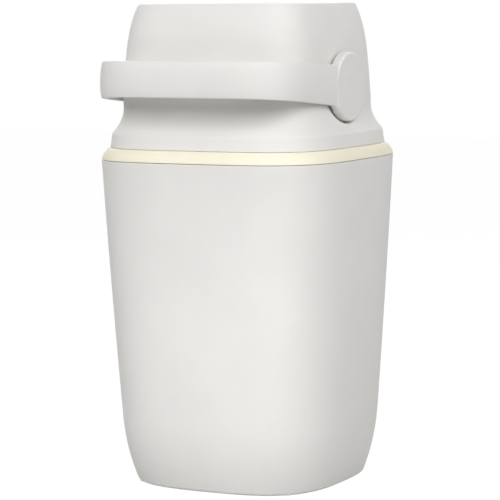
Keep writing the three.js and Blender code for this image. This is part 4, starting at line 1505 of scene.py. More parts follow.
    def _stop_ribs(self, side: Side) -> list[Form]:
        """Makes the ribs at the front and at the back of one bearing.

        Args:
            side: Which side.

        Returns:
            The two ribs.
        """
        rotor = BallRotor()
        tip, root = rotor.tab_end - self.rib_overhang, self.boss_face + self.rib_root
        start, end = sorted((side.value * tip, side.value * root))
        top = -rotor.tab_thickness / 2 - SEAT_GAP
        reach = rotor.shoulder + rotor.tab_reach + self.rib_margin
        near = rotor.shoulder + 2 * SEAT_GAP
        front = block((start, -reach, top - self.stop_thickness), (end, -near, top))
        front.moved(Matrix.Rotation(rest_tilt(), 4, "X"))
        back = front.copy().moved(Matrix.Scale(-1, 4, (0, 1, 0)))
        return [rib.moved(Matrix.Translation(LINES.pivot)) for rib in (front, back)]

    def _hinge(self, form: Form) -> None:
        """Adds the middle knuckle of the rear hinge.

        Args:
            form: The head.
        """
        rise = HINGE.radius - self.web_inset
        end = self.knuckle_half - SLIVER
        web = block(
            (-end, LINES.skirt_half - self.wall + self.web_root, HINGE.axis.z - rise),
            (end, HINGE.axis.y, HINGE.axis.z + rise),
        )
        form.add(HINGE.tube(-self.knuckle_half, self.knuckle_half), web).cut(HINGE.bore(self.knuckle_half))


@dataclass(frozen=True)
class Handle:
    """The bail handle with a round hub at each side, made about the pivot with its bar towards the front.

    Attributes:
        half: Half of the width over the arms.
        reach: How far in front of the pivot the bar's outer face lies.
        power: The power of the bail's outline.
        swell: How far the arms' outer faces rise to meet the hubs.
        swell_start: How far in front of the pivot the swell starts.
        swell_full: How far in front of the pivot it is full.
        root_sink: How far the arms' ends stay inside the hubs.
        stations: First turn, last turn and number of steps of each stretch of a quarter of the bail.
    """

    half: float = 126.7
    reach: float = 165.0
    power: float = 4.9
    thickness: float = 7.0
    front_height: float = 39.6
    root_height: float = 46.4
    crown: float = 1.5
    edge: float = 2.0
    fillet: float = 26.0
    swell: float = 2.1
    swell_start: float = 78.0
    swell_full: float = 34.0
    root_sink: float = 0.5
    hub_radius: float = 38.5
    hub_inner: float = 118.5
    hub_thickness: float = 10.5
    hub_sides: int = 144
    hub_edge: Round = Round(3.0, 6)
    hub_inner_edge: Round = Round(0.6, 2)
    socket_half: float = 10.3
    socket_end: float = 124.5
    section_points: int = 40
    stations: tuple[tuple[float, float, int], ...] = ((0.0, 0.09, 2), (0.1, 0.28, 36), (0.3, math.pi / 2, 60))

    def build(self, shop: Workshop) -> None:
        """Makes the handle.

        Args:
            shop: Where it is finished.
        """
        form = self._bar()
        socket = self.socket_half
        for side in Side:
            form.add(self._hub().on(side))
            start, end = sorted((side.value * (self.hub_inner - OVERLAP), side.value * self.socket_end))
            form.cut(block((start, -socket, -socket), (end, socket, socket)))
        shop.piece(form.moved(BALL.at_rest()), "bail_handle", Body.ROTOR, Slot.SHELL, "handle")

    def _hub(self) -> Form:
        """Makes the right hub without its socket."""
        inner, outer = self.hub_inner, self.hub_inner + self.hub_thickness
        profile = [(0, inner), (self.hub_radius, inner), (self.hub_radius, outer), (0, outer)]
        hub = turned(profile, Axis.X, self.hub_sides)
        hub.ease(self.hub_edge, lambda p: p.x > outer - NEAR)
        return hub.ease(self.hub_inner_edge, lambda p: p.x < inner + NEAR)

    def _bar(self) -> Form:
        """Makes the bail without its hubs."""
        form = Form()
        quarter = [turn for stretch in self.stations for turn in steps(*stretch)]
        turns = [*quarter, *[math.pi - turn for turn in reversed(quarter[:-1])]]
        first = form.start(lambda point: self._place(turns[0], point[form.turn]), self.section_points)
        rim = first
        for turn in turns[1:]:
            rim = form.grow(rim, lambda point, turn=turn: self._place(turn, point[form.turn]))
        form.close(first)
        form.close(rim)
        return form.weld()

    def _place(self, turn: float, around: float) -> Vector:
        """Finds a point of the bail's surface.

        Args:
            turn: Where along the bail, from 0 at the right hub to pi at the left one.
            around: Where round its section.

        Returns:
            The point, about the pivot.
        """
        angle = crowded(turn)
        c, s = math.cos(angle), math.sin(angle)
        size = (abs(c / self.half) ** self.power + abs(s / self.reach) ** self.power) ** (-1 / self.power)
        x, forward = size * c, size * s
        slope = self.power - 1
        across = math.copysign(abs(x / self.half) ** slope, c) / self.half
        out = Vector((across, -(abs(forward / self.reach) ** slope) / self.reach)).normalized()
        inwards, up = self._section(around, self._half_height(forward))
        rise = self.swell * ease_in((self.swell_start - forward) / (self.swell_start - self.swell_full))
        inwards -= rise * (1 - inwards / self.thickness)
        return Vector((x - out.x * inwards, -forward - out.y * inwards, up))

    def _half_height(self, forward: float) -> float:
        """Returns half of the bar's height so far in front of the pivot, with the fillet to the hub."""
        share = clamped(forward / self.reach)
        bar = (self.root_height + (self.front_height - self.root_height) * share) / 2
        span = self.hub_radius + self.fillet
        centre = math.sqrt(span ** 2 - (bar + self.fillet) ** 2)
        if forward < centre * self.hub_radius / span:
            in_hub = math.sqrt(self.hub_radius ** 2 - forward ** 2)
            return min(bar + self.fillet, in_hub) - self.root_sink
        if forward < centre:
            return bar + self.fillet - math.sqrt(self.fillet ** 2 - (centre - forward) ** 2)
        return bar

    def _section(self, around: float, half_height: float) -> tuple[float, float]:
        """Finds a point of the bar's section, a flat inside and a crowned outside with eased edges.

        Args:
            around: Where round the section, 0 at the middle of the inside.
            half_height: Half of the bar's height.

        Returns:
            How far inwards from the outer face and how far up it lies.
        """
        c, s = math.cos(around), math.sin(around)
        flat = self.thickness / 2
        size = 1 / max(abs(c), abs(s))
        across, up = flat * c * size, half_height * s * size
        over_x, over_z = abs(across) - (flat - self.edge), abs(up) - (half_height - self.edge)
        if over_x > 0 and over_z > 0:
            bend = math.atan2(over_z, over_x)
            across = math.copysign(flat - self.edge + self.edge * math.cos(bend), c)
            up = math.copysign(half_height - self.edge + self.edge * math.sin(bend), s)
        crown = self.crown * (up / half_height) ** 2 * (0.5 - across / self.thickness)
        return flat + across + crown, up


@dataclass(frozen=True)
class BallLines:
    """The sizes that the ball, its cup, the seals and the piston share, about the pivot."""

    radius: float = 92.0
    wall: float = 3.0
    flank: float = 24.0
    rim_width: float = 3.4
    lip_depth: float = 3.0
    lip_reach: float = 5.0
    seal_gap: float = 2.5
    holder_step: float = 4.0
    holder_wall: float = 3.4
    mouth_inset: float = 11.0
    throat_gap: float = 1.1
    outlet_gap: float = 3.6
    plate: float = 3.0
    post_radius: float = 5.5
    sides: int = 144

    @property
    def cup_radius(self) -> float:
        """Radius of the cup's bore."""
        return self.radius - self.flank

    @property
    def cup_half(self) -> float:
        """Half of the cup's length."""
        return math.sqrt(self.radius ** 2 - (self.cup_radius + self.rim_width) ** 2)

    @property
    def seal_drop(self) -> float:
        """Distance from the pivot to the far face of a seal."""
        return self.cup_half + self.seal_gap

    @property
    def holder(self) -> float:
        """Outer radius of the rims that hold the seals."""
        return self.radius - self.holder_step

    @property
    def holder_bore(self) -> float:
        """Inner radius of those rims."""
        return self.holder - self.holder_wall

    @property
    def throat(self) -> float:
        """Radius of the funnel's throat."""
        return math.sqrt((self.radius + self.throat_gap) ** 2 - (self.seal_drop + SEAT_GAP) ** 2)

    @property
    def outlet(self) -> float:
        """Radius of the hole in the outlet plate."""
        return math.sqrt((self.radius + self.outlet_gap) ** 2 - self.seal_drop ** 2)

    def at_rest(self) -> Matrix:
        """Returns the place of the rotor at rest, from its own frame about the pivot."""
        return Matrix.Translation(LINES.pivot) @ Matrix.Rotation(rest_tilt(), 4, "X")


BALL = BallLines()


def four_corners(place: float) -> list[tuple[float, float]]:
    """Returns the four corners of a square about the middle, in the order of their numbers."""
    return [(-place, -place), (place, -place), (place, place), (-place, place)]


@dataclass(frozen=True)
class PanScrew:
    """A pan head screw with a cross recess, standing on its head with its seat at the origin.

    Attributes:
        root_share: Radius of the thread's root, as a share of the shank's radius.
        tip_length: Length of the tip, in radii of the shank.
        plain_length: How much of the shank has no thread, in radii.
        recess_share: Half of the cross's width, as a share of the head's radius.
    """

    length: float = 14.0
    radius: float = 1.6
    neck: float = 0.4
    thread_start: float = 1.0
    pitch: float = 1.3
    root_share: float = 0.82
    tip_length: float = 1.4
    plain_length: float = 3.0
    head_radius: float = 3.6
    head_height: float = 2.4
    crown: float = 0.9
    crown_power: float = 1.5
    crown_rows: int = 8
    recess_width: float = 0.9
    recess_depth: float = 1.3
    recess_share: float = 0.52
    sides: int = 32
    hole_sides: int = 24

    def form(self) -> Form:
        """Returns the screw's form."""
        top = -self.head_height
        head = [
            (self.head_radius * math.sin(a), top + self.crown * (1 - math.cos(a)) ** self.crown_power)
            for a in quarter_turn(self.crown_rows)
        ]
        root = self.radius * self.root_share
        thread = [(self.radius, self.neck)]
        for i in range(int((self.length - self.plain_length * self.radius) / self.pitch)):
            low = self.thread_start + i * self.pitch
            thread += [(root, low), (self.radius, low + self.pitch / 2)]
        tip = [(root, self.length - self.radius * self.tip_length), (0, self.length)]
        shank = [(self.head_radius, 0), (self.radius, 0), *thread, *tip]
        screw = turned([*head, *shank], Axis.Z, self.sides)
        half, wide = self.recess_width / 2, self.head_radius * self.recess_share
        low, high = top - OVERLAP, top + self.recess_depth
        screw.cut(block((-wide, -half, low), (wide, half, high)))
        return screw.cut(block((-half, -wide, low), (half, wide, high)))

    def hole(self, place: tuple[float, float], start: float, end: float) -> Form:
        """Returns the room for a shank that stands at a place, between two heights."""
        return rod(self.radius + SEAT_GAP, start, end, sides=self.hole_sides).shifted(*place)


@dataclass(frozen=True)
class FoamRing:
    """A foam ring that lies in a holder and follows the ball with its inner face."""

    height: float = 15.5
    width: float = 8.5
    contact_rows: int = 8
    edge: Round = Round(0.5, 3)

    def form(self, end: End) -> Form:
        """Makes the ring at one end of the cup.

        Args:
            end: Which end.

        Returns:
            The ring.
        """
        outer = BALL.holder_bore - SEAT_GAP
        far = BALL.seal_drop
        near = far - self.height
        ball = BALL.radius + SEAT_GAP
        drops = steps(far - self.height / 2, near, self.contact_rows)
        contact = [(math.sqrt(ball ** 2 - drop ** 2), drop) for drop in drops]
        profile = [(outer, near), (outer, far), (outer - self.width, far), *contact]
        form = turned([(radius, end.value * drop) for radius, drop in profile], Axis.Z, BALL.sides)
        return form.ease(self.edge).moved(Matrix.Translation(LINES.pivot))


SEAL = FoamRing()


@dataclass(frozen=True)
class Inlet:
    """The funnel with the upper seal's holder, its screws and the foam ring above the ball."""

    wall: float = 3.0
    ear_radius: float = 8.0
    ear_reach: float = 10.0
    ear_root: float = 3.0
    throat_edge: Round = Round(0.8)
    edge: Round = Round(0.4, 2)

    @property
    def flange_foot(self) -> float:
        """Height of the flange's lower face."""
        return LINES.pivot.z + BALL.seal_drop + SEAT_GAP

    @property
    def flange_top(self) -> float:
        """Height of the flange's upper face."""
        return self.flange_foot + BALL.plate

    def screw_places(self) -> list[tuple[float, float]]:
        """Returns where the screws are."""
        return four_corners((BALL.holder + self.ear_reach) / math.sqrt(2))

    def build(self, shop: Workshop) -> None:
        """Makes the inlet's pieces.

        Args:
            shop: Where they are finished.
        """
        shop.piece(self._funnel(), "funnel_ring", Body.HEAD, Slot.INNER, "inlet_ring")
        shop.piece(SEAL.form(End.UPPER), "upper_foam_ring", Body.HEAD, Slot.FOAM, "upper_seal")
        screw = PanScrew().form()
        for number, place in enumerate(self.screw_places(), 1):
            form = screw.copy().shifted(*place, self.flange_foot - SEAT_GAP)
            shop.piece(form, f"funnel_screw_{number}", Body.HEAD, Slot.STEEL, f"inlet_screw_{number}")

    def _funnel(self) -> Form:
        """Makes the funnel with its holder and ears."""
        low, high = self.flange_foot, self.flange_top
        brim = LINES.top - SEAT_GAP
        mouth, throat, bore = BALL.radius - BALL.mouth_inset, BALL.throat, BALL.holder_bore
        profile = [
            (mouth, brim),
            (mouth + self.wall, brim),
            (mouth + self.wall, brim - self.wall),
            (throat + self.wall, high),
            (BALL.holder, high),
            (BALL.holder, low - SEAL.height),
            (bore, low - SEAL.height),
            (bore, low),
            (throat, low),
            (throat, high),
        ]
        form = turned(profile, Axis.Z, BALL.sides)
        in_flange = above(high)
        form.ease(self.throat_edge, lambda p: in_flange(p) or off_axis(p) < throat + OVERLAP)
        form.ease(self.edge, lambda p: p.z < low - OVERLAP)
        for place in self.screw_places():
            out = math.hypot(*place)
            arm = block((bore + OVERLAP, -self.ear_radius, low), (out, self.ear_radius, high))
            arm.add(rod(self.ear_radius, low, high).shifted(out))
            arm.ease(self.edge, lambda p: p.x > bore + self.ear_root)
            form.add(arm.moved(turn_towards(place)))
        screw = PanScrew()
        return form.cut(*[screw.hole(place, low - OVERLAP, high + OVERLAP) for place in self.screw_places()])


@dataclass(frozen=True)
class Outlet:
    """The plate with the outlet and the lower holder, its screws, the lower foam ring and the gasket."""

    sides: int = 144
    edge_gap: float = 0.5
    shelf_width: float = 19.0
    screw_gap: float = 1.1
    edge: Round = Round(0.4, 2)
    hole_bevel: float = 0.8
    hole_bevel_middle: float = 0.3
    gasket_thickness: float = 2.2
    gasket_width: float = 10.0
    gasket_inset: float = 5.0
    gasket_edge: Round = Round(0.5, 3)

    @property
    def bottom(self) -> float:
        """Height of the plate's lower face."""
        return LINES.head_foot + self.gasket_thickness + SEAT_GAP

    @property
    def top(self) -> float:
        """Height of the plate's upper face."""
        return self.bottom + BALL.plate

    def screw_places(self) -> list[tuple[float, float]]:
        """Returns where its screws are."""
        shelf = LINES.skirt_half + SEAT_GAP - self.shelf_width
        corner = shelf / 2 ** (1 / LINES.skirt_square)
        return four_corners(corner - PanScrew().head_radius - self.screw_gap)

    def build(self, shop: Workshop) -> None:
        """Makes the outlet's pieces.

        Args:
            shop: Where they are finished.
        """
        shop.piece(self._plate(), "outlet_floor", Body.HEAD, Slot.INNER, "outlet_plate")
        shop.piece(SEAL.form(End.LOWER), "lower_foam_ring", Body.HEAD, Slot.FOAM, "lower_seal")
        shop.piece(self._gasket(), "foam_gasket", Body.HEAD, Slot.FOAM, "head_gasket")
        screw = PanScrew().form()
        for number, place in enumerate(self.screw_places(), 1):
            form = screw.copy().shifted(*place, self.bottom - SEAT_GAP)
            shop.piece(form, f"outlet_floor_screw_{number}", Body.HEAD, Slot.STEEL, f"outlet_screw_{number}")

    def _plate(self) -> Form:
        """Returns the plate with the holder, the outlet and the holes for its screws."""
        low, high = self.bottom, self.top
        half = LINES.head(high).half - HeadHousing().wall - self.edge_gap
        plate = stack_solid([Level(z, half, LINES.skirt_square) for z in (low, high)], self.sides)
        plate.ease(self.edge)
        rim_foot, rim_top = high - OVERLAP, high + SEAL.height
        bore, holder = BALL.holder_bore, BALL.holder
        profile = [(bore, rim_foot), (holder, rim_foot), (holder, rim_top), (bore, rim_top)]
        rim = turned(profile, Axis.Z, self.sides)
        plate.add(rim.ease(self.edge, lambda p: p.z > high + OVERLAP))
        hole, bevel, middle = BALL.outlet, self.hole_bevel, self.hole_bevel * self.hole_bevel_middle
        profile = [
            (0, low - OVERLAP),
            (hole + bevel + OVERLAP, low - OVERLAP),
            (hole + bevel, low),
            (hole + middle, low + middle),
            (hole, low + bevel),
            (hole, high + OVERLAP),
            (0, high + OVERLAP),
        ]
        plate.cut(turned(profile, Axis.Z, self.sides))
        screw = PanScrew()
        return plate.cut(*[screw.hole(place, low - OVERLAP, high + OVERLAP) for place in self.screw_places()])

    def _gasket(self) -> Form:
        """Returns the gasket between the head and the collar."""
        outer = LINES.skirt_half - self.gasket_inset
        inner = outer - self.gasket_width
        low, high = LINES.head_foot, LINES.head_foot + self.gasket_thickness
        section = [(outer, low), (outer, high), (inner, high), (inner, low)]
        form = ring_solid([Level(z, half, LINES.skirt_square) for half, z in section], self.sides)
        return form.ease(self.gasket_edge)


@dataclass(frozen=True)
class Bearings:
    """The flanged bushes of the axle."""

    sides: int = 96
    bore: float = 16.3
    wall: float = 3.4
    flange_reach: float = 5.0
    flange_thickness: float = 2.7
    edge: Round = Round(0.4, 3)

    def build(self, shop: Workshop) -> None:
        """Makes both bushes.

        Args:
            shop: Where they are finished.
        """
        head = HeadHousing()
        flange_foot = head.boss_face - SEAT_GAP - self.flange_thickness
        flange_top = flange_foot + self.flange_thickness
        sleeve = self.bore + self.wall
        flange = sleeve + self.flange_reach
        profile = [
            (self.bore, flange_foot),
            (flange, flange_foot),
            (flange, flange_top),
            (sleeve, flange_top),
            (sleeve, head.pocket_floor),
            (self.bore, head.pocket_floor),
        ]
        for side in Side:
            form = turned(profile, Axis.X, self.sides).ease(self.edge).on(side)
            form.moved(Matrix.Translation(LINES.pivot))
            word = side.name.lower()
            shop.piece(form, f"bush_{word}", Body.HEAD, Slot.BEARING, f"bearing_bush_{word}")


@dataclass(frozen=True)
class BallRotor:
    """The two halves of the ball with the cup through it, and the screws that join them."""

    sides: int = 144
    hollow_sides: int = 96
    meridian_steps: int = 64
    axle_sides: int = 96
    shoulder: float = 24.0
    shoulder_face: float = 107.7
    shoulder_edge: Round = Round(0.5, 3)
    journal: float = 16.0
    journal_end: float = 118.2
    journal_hollow: float = 9.0
    drive_half: float = 10.0
    drive_length: float = 6.0
    drive_edge: Round = Round(0.5, 2)
    tab_reach: float = 16.0
    tab_thickness: float = 8.0
    tab_width: float = 9.0
    tab_setback: float = 2.7
    tab_edge: Round = Round(0.6, 3)
    lip_edge: Round = Round(0.8)
    screw_z: float = 16.0
    screw_post: float = 6.5
    screw_seat: float = 12.0
    screw_length: float = 22.0
    screw_sides: int = 48

    @property
    def tab_end(self) -> float:
        """How far out the tab reaches along X."""
        return self.shoulder_face - self.tab_setback

    @property
    def root(self) -> float:
        """How far out the axle starts, inside the ball."""
        return BALL.radius - 2 * BALL.wall

    def screw_places(self) -> list[tuple[float, float]]:
        """Returns where the screws are, as Y and Z about the pivot."""
        out = BALL.cup_radius + BALL.flank / 2
        return [(y * out, z * self.screw_z) for y in (-1, 1) for z in (-1, 1)]

    def build(self, shop: Workshop) -> None:
        """Makes the rotor's pieces.

        Args:
            shop: Where they are finished.
        """
        plain = self._half()
        for side in Side:
            form = plain.copy()
            form.cut(*[hole for place in self.screw_places() for hole in self._holes(place, side)])
            form.on(side).moved(BALL.at_rest())
            word = side.name.lower()
            shop.piece(form, f"ball_{word}", Body.ROTOR, Slot.INNER, f"rotor_half_{word}")
        screw = PanScrew(self.screw_length).form().moved(Matrix.Rotation(-math.pi / 2, 4, "Y"))
        for number, (y, z) in enumerate(self.screw_places(), 1):
            form = screw.copy().shifted(self.screw_seat + SEAT_GAP, y, z).moved(BALL.at_rest())
            shop.piece(form, f"ball_screw_{number}", Body.ROTOR, Slot.STEEL, f"rotor_screw_{number}")

    def _holes(self, place: tuple[float, float], side: Side) -> list[Form]:
        """Makes the room for one screw, whose head sits in the right half.

        Args:
            place: Where it is, as Y and Z.
            side: Which half it is for.

        Returns:
            The holes.
        """
        screw = PanScrew()
        shank = (screw.radius + SEAT_GAP, -OVERLAP, self.screw_seat + OVERLAP)
        holes = [rod(*shank, Axis.X, screw.hole_sides).shifted(0, *place)]
        if side is Side.RIGHT:
            head = rod(screw.head_radius + SEAT_GAP, self.screw_seat, BALL.radius, Axis.X, self.screw_sides)
            holes.append(head.shifted(0, *place))
        return holes

    def _half(self) -> Form:
        """Makes the right half without its screw holes."""
        reach, half = BALL.radius + OVERLAP, BALL.cup_half
        form = self._ball(BALL.radius, self.sides).cut(self._hollow())
        form.join(block((SEAT_GAP / 2, -reach, -half), (reach, reach, half)), Joining.KEEP)
        form.add(*self._axle())
        bore = rod(self.journal_hollow, self.root - OVERLAP, self.journal_end, Axis.X)
        return form.cut(self._cup(), bore)

    def _ball(self, radius: float, sides: int) -> Form:
        """Returns a ball of a radius, with so many meridians."""
        turns = steps(-math.pi / 2, math.pi / 2, self.meridian_steps)[1:-1]
        arc = [(radius * math.cos(a), radius * math.sin(a)) for a in turns]
        return turned([(0, -radius), *arc, (0, radius)], Axis.X, sides)

    def _hollow(self) -> Form:
        """Makes the space between the ball's wall and the cup's, but for the screws' posts."""
        radius = BALL.radius
        hollow = self._ball(radius - BALL.wall, self.hollow_sides)
        hollow.cut(rod(BALL.cup_radius + BALL.wall, -radius, radius, sides=self.sides))
        for y, z in self.screw_places():
            hollow.cut(rod(self.screw_post, -radius, radius, Axis.X, self.screw_sides).shifted(0, y, z))
        return hollow

    def _axle(self) -> list[Form]:
        """Makes the shoulder, the journal, the tab that meets the stop ribs, and the hub's square drive."""
        thick, drive = self.tab_thickness / 2, self.drive_half
        shoulder = rod(self.shoulder, self.root, self.shoulder_face, Axis.X, self.axle_sides)
        journal = rod(self.journal, self.shoulder_face - OVERLAP, self.journal_end, Axis.X, self.axle_sides)
        tab = block(
            (self.tab_end - self.tab_width, -self.shoulder - self.tab_reach, -thick),
            (self.tab_end, -self.journal, thick),
        )
        square = block(
            (self.journal_end - OVERLAP, -drive, -drive), (self.journal_end + self.drive_length, drive, drive)
        )
        shoulder.ease(self.shoulder_edge)
        tab.ease(self.tab_edge)
        square.ease(self.drive_edge)
        return [shoulder, journal, tab, square]

    def _cup(self) -> Form:
        """Makes the room of the cup, with a lip at each end."""
        half, edge = BALL.cup_half, self.lip_edge.radius
        deep, lip = half - BALL.lip_depth, BALL.cup_radius - BALL.lip_reach
        upper = [(BALL.cup_radius, deep), (lip, deep), (lip, half - edge)]
        for a in quarter_turn(self.lip_edge.faces):
            upper.append((lip + edge * (1 - math.cos(a)), half - edge + edge * math.sin(a)))
        upper += [(lip + edge, half + OVERLAP), (0, half + OVERLAP)]
        lower = [(out, -up) for out, up in reversed(upper)]
        return turned([*lower, *upper], Axis.Z, self.sides)


@dataclass(frozen=True)
class Piston:
    """The weighted piston: two dished shells, a steel weight, a rubber wiper and three screws."""

    sides: int = 144
    thickness: float = 30.0
    side_gap: float = 2.0
    wall: float = 2.5
    rim_rows: int = 8
    wiper_height: float = 6.0
    wiper_depth: float = 5.0
    wiper_bevel: float = 1.0
    wiper_edge: Round = Round(0.3, 2)
    post_gap: float = 1.5
    weight_gap: float = 3.5
    weight_thickness: float = 8.0
    weight_edge: Round = Round(0.8, 3)
    pad_inset: float = 23.0
    pad_sides: int = 96
    screws: int = 3
    screw_sides: int = 48

    @property
    def radius(self) -> float:
        """Radius of the shells."""
        return BALL.cup_radius - self.side_gap

    @property
    def screw_circle(self) -> float:
        """Radius of the circle of screws."""
        return self.radius - self.wiper_depth - self.post_gap - BALL.post_radius

    @property
    def weight_radius(self) -> float:
        """Radius of the weight."""
        return self.screw_circle - BALL.post_radius - self.weight_gap

    def screw_places(self) -> list[tuple[float, float]]:
        """Returns where the screws are."""
        turns = [math.pi / 2 + math.tau * i / self.screws for i in range(self.screws)]
        return [(self.screw_circle * math.cos(turn), self.screw_circle * math.sin(turn)) for turn in turns]

    def build(self, shop: Workshop) -> None:
        """Makes the piston's pieces.

        Args:
            shop: Where they are finished.
        """
        middle = -BALL.cup_half + BALL.lip_depth + SEAT_GAP + self.thickness / 2
        rest = BALL.at_rest() @ Matrix.Translation((0, 0, middle))
        upper, lower = self._shell(), self._shell()
        screw = PanScrew()
        floor = -self.thickness / 2
        seat = floor + self.wall + screw.head_height
        deep = self.thickness / 2 - self.wall
        upper.cut(*[screw.hole(place, -OVERLAP, deep) for place in self.screw_places()])
        lower.moved(Matrix.Scale(-1, 4, (0, 0, 1)))
        for place in self.screw_places():
            head = rod(screw.head_radius + SEAT_GAP, floor - OVERLAP, seat, sides=self.screw_sides)
            lower.cut(screw.hole(place, floor, OVERLAP), head.shifted(*place))
        shop.piece(upper.moved(rest), "piston_top", Body.PISTON, Slot.PISTON, "piston_upper_shell")
        shop.piece(lower.moved(rest), "piston_base", Body.PISTON, Slot.PISTON, "piston_lower_shell")
        thick = self.weight_thickness / 2
        slug = rod(self.weight_radius, -thick, thick, sides=self.sides).ease(self.weight_edge).moved(rest)
        shop.piece(slug, "piston_slug", Body.PISTON, Slot.STEEL, "piston_weight")
        shop.piece(self._wiper().moved(rest), "wiper_ring", Body.PISTON, Slot.RUBBER, "piston_wiper")
        form = screw.form()
        for number, place in enumerate(self.screw_places(), 1):
            one = form.copy().shifted(*place, seat - SEAT_GAP).moved(rest)
            shop.piece(one, f"piston_base_screw_{number}", Body.PISTON, Slot.STEEL, f"piston_screw_{number}")

    def _shell(self) -> Form:
        """Makes the upper shell about the piston's middle, without its screw holes."""
        top = self.thickness / 2
        under_top, seam = top - self.wall, SEAT_GAP / 2
        groove = self.radius - self.wiper_depth
        above_wiper = self.wiper_height / 2 + SEAT_GAP
        rim = [
            (self.radius - self.wall * (1 - math.cos(a)), top - self.wall * (1 - math.sin(a)))
            for a in quarter_turn(self.rim_rows)[1:]
        ]
        inside = [(0, under_top), (groove - self.wall, under_top), (groove - self.wall, seam)]
        seat = [(groove, seam), (groove, above_wiper), (self.radius, above_wiper)]
        profile = [*inside, *seat, (self.radius, under_top), *rim, (0, top)]
        form = turned(profile, Axis.Z, self.sides)
        pad = self.weight_radius - self.pad_inset
        deep = top - self.wall / 2
        form.add(rod(pad, self.weight_thickness / 2 + SEAT_GAP, deep, sides=self.pad_sides))
        return form.add(*[rod(BALL.post_radius, seam, deep).shifted(*place) for place in self.screw_places()])

    def _wiper(self) -> Form:
        """Makes the wiper ring about the piston's middle."""
        inner = self.radius - self.wiper_depth + SEAT_GAP
        outer = BALL.cup_radius - SEAT_GAP
        half = self.wiper_height / 2
        lip = outer - self.wiper_bevel
        profile = [(inner, -half), (lip, -half), (outer, 0), (lip, half), (inner, half)]
        ring = turned(profile, Axis.Z, self.sides)
        return ring.ease(self.wiper_edge, lambda p: off_axis(p) > inner + OVERLAP)


WHITE = (1.0, 1.0, 1.0, 1.0)


@dataclass(frozen=True)
class SoftLamp:
    """A square soft lamp that points at the bin's axis.

    Attributes:
        name: Its name.
        azimuth: Where it hangs round the bin, in degrees from the front towards the right side.
        elevation: How high it hangs, in degrees.
        power: Its power, in watts.
        distance: How far it is from the point that it lights, in metres.
        target: The height of that point, in metres.
        size: Its width, in metres.
        spread: How widely it shines, in degrees.
    """

    name: str
    azimuth: float
    elevation: float
    power: float
    distance: float = 2.2
    target: float = 0.27
    size: float = 1.1
    spread: float = 180.0

    def hang(self) -> None:
        """Hangs the lamp in the scene."""
        around, up = math.radians(self.azimuth), math.radians(self.elevation)
        away = Vector((math.sin(around) * math.cos(up), -math.cos(around) * math.cos(up), math.sin(up)))
        data = bpy.data.lights.new(self.name, "AREA")
        data.size = self.size
        data.energy = self.power
        data.spread = math.radians(self.spread)
        lamp = bpy.data.objects.new(self.name, data)
        lamp.visible_camera = False
        lamp.location = Vector((0, 0, self.target)) + away * self.distance
        lamp.rotation_euler = (-away).to_track_quat("-Z", "Y").to_euler()
        bpy.context.scene.collection.objects.link(lamp)


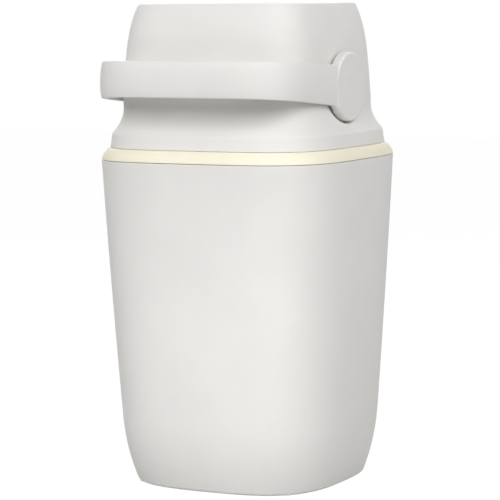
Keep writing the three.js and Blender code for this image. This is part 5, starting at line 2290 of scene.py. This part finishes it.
@dataclass(frozen=True)
class Studio:
    """The photograph's camera, a pale floor and soft lamps."""

    yaw: float = 27.22
    distance: float = 2681.5
    height: float = 548.6
    tilt: float = 6.16
    roll: float = 0.53
    focal: float = 2358.0
    image: float = 500.0
    sensor: float = 36.0
    far: float = 100.0
    floor_size: float = 6.0
    floor_colour: Colour = (0.45, 0.45, 0.445)
    floor_glow: float = 1.12
    floor_glow_share: float = 0.88
    ambient: float = 0.03
    lamps: tuple[SoftLamp, ...] = (
        SoftLamp("left_rim", -60.0, 32.0, 3.8),
        SoftLamp("left", -25.0, 32.0, 11.6),
        SoftLamp("front", 5.0, 32.0, 8.6),
        SoftLamp("key", 30.0, 32.0, 10.1),
        SoftLamp("side", 60.0, 32.0, 11.0),
        SoftLamp("right_rim", 100.0, 32.0, 9.2),
        SoftLamp("right_low", 100.0, 0.0, 4.4),
        SoftLamp("rear_right", 140.0, 40.0, 1.5),
        SoftLamp("rear", 200.0, 35.0, 16.0),
        SoftLamp("rear_left", 235.0, 32.0, 5.5),
        SoftLamp("low_front", 10.0, 0.0, 0.21, 0.7, 0.06, 0.4, 70.0),
        SoftLamp("low_right", 35.0, 0.0, 0.08, 0.7, 0.06, 0.4, 70.0),
    )

    def build(self) -> None:
        """Makes the camera, the floor, the world and the lamps."""
        bpy.context.scene.view_settings.view_transform = "Standard"
        self._camera()
        self._floor()
        self._world()
        for lamp in self.lamps:
            lamp.hang()

    def _camera(self) -> None:
        """Places the camera where the photograph was taken from."""
        yaw, tilt, roll = (math.radians(angle) for angle in (self.yaw, self.tilt, self.roll))
        right = Vector((math.cos(yaw), math.sin(yaw), 0))
        forward = Vector((-math.sin(yaw), math.cos(yaw), 0)) * math.cos(tilt) - Vector((0, 0, math.sin(tilt)))
        up = right.cross(forward)
        place = Vector((self.distance * math.sin(yaw), -self.distance * math.cos(yaw), self.height))
        across = right * math.cos(roll) - up * math.sin(roll)
        upward = right * math.sin(roll) + up * math.cos(roll)
        turn = Matrix((across, upward, -forward)).transposed()
        data = bpy.data.cameras.new("camera")
        data.sensor_width = self.sensor
        data.lens = self.focal / self.image * self.sensor
        data.clip_end = self.far
        camera = bpy.data.objects.new("camera", data)
        camera.matrix_world = Matrix.Translation(place / MILLIMETRES) @ turn.to_4x4()
        bpy.context.scene.collection.objects.link(camera)
        bpy.context.scene.camera = camera

    @staticmethod
    def _seen(graph: Graph) -> Wire:
        """Returns 1 for the camera's rays and for mirrored and transmitted ones, and 0 for the rest."""
        rays = graph.node("ShaderNodeLightPath").outputs
        seen = Wire(graph, rays["Is Camera Ray"])
        return seen.larger(rays["Is Glossy Ray"]).larger(rays["Is Transmission Ray"])

    def _floor(self) -> None:
        """Makes a pale floor that shows white and keeps the bin's soft shadow."""
        sheet = bmesh.new()
        bmesh.ops.create_grid(sheet, x_segments=4, y_segments=4, size=self.floor_size)
        data = bpy.data.meshes.new("floor")
        sheet.to_mesh(data)
        sheet.free()
        floor = bpy.data.objects.new("floor", data)
        bpy.context.scene.collection.objects.link(floor)
        graph = Graph(bpy.data.materials.new("pale_floor"))
        pale = graph.node("ShaderNodeBsdfDiffuse", sockets={"Color": (*self.floor_colour, 1.0)})
        glow = graph.node("ShaderNodeEmission", sockets={"Color": WHITE, "Strength": self.floor_glow})
        share = self._seen(graph) * self.floor_glow_share
        sockets = {0: share, 1: pale.outputs[0], 2: glow.outputs[0]}
        graph.end(graph.node("ShaderNodeMixShader", sockets=sockets))
        data.materials.append(graph.owner)

    def _world(self) -> None:
        """Makes the soft light of the room, seen as white behind the bin."""
        world = bpy.data.worlds.new("studio")
        bpy.context.scene.world = world
        graph = Graph(world)
        strength = self.ambient + self._seen(graph) * (1 - self.ambient)
        graph.end(graph.node("ShaderNodeBackground", sockets={"Color": WHITE, "Strength": strength}))


FINISHES = (
    MouldedPlastic(Slot.SHELL, (0.81, 0.795, 0.775), 0.5),
    MouldedPlastic(Slot.CREAM, (0.93, 0.88, 0.71), 0.52),
    MouldedPlastic(Slot.INNER, (0.78, 0.76, 0.72), 0.45),
    MouldedPlastic(Slot.PISTON, (0.80, 0.78, 0.74), 0.45),
    Acetal(Slot.BEARING, (0.90, 0.89, 0.86), 0.32),
    Foam(Slot.FOAM, (0.10, 0.10, 0.11), 0.9),
    Rubber(Slot.RUBBER, (0.06, 0.06, 0.065), 0.72),
    ZincSteel(Slot.STEEL, (0.55, 0.56, 0.57), 0.36),
)


def main() -> None:
    """Builds the bin in order."""
    logging.basicConfig(level=logging.INFO, format="%(message)s")
    Studio().build()
    shop = Workshop(FINISHES)
    outside = (Bucket(), CollarRing(), HeadHousing(), Handle())
    inside = (Inlet(), Outlet(), Bearings(), BallRotor(), Piston())
    for assembly in (*outside, *inside):
        assembly.build(shop)


if __name__ == "__main__":
    main()
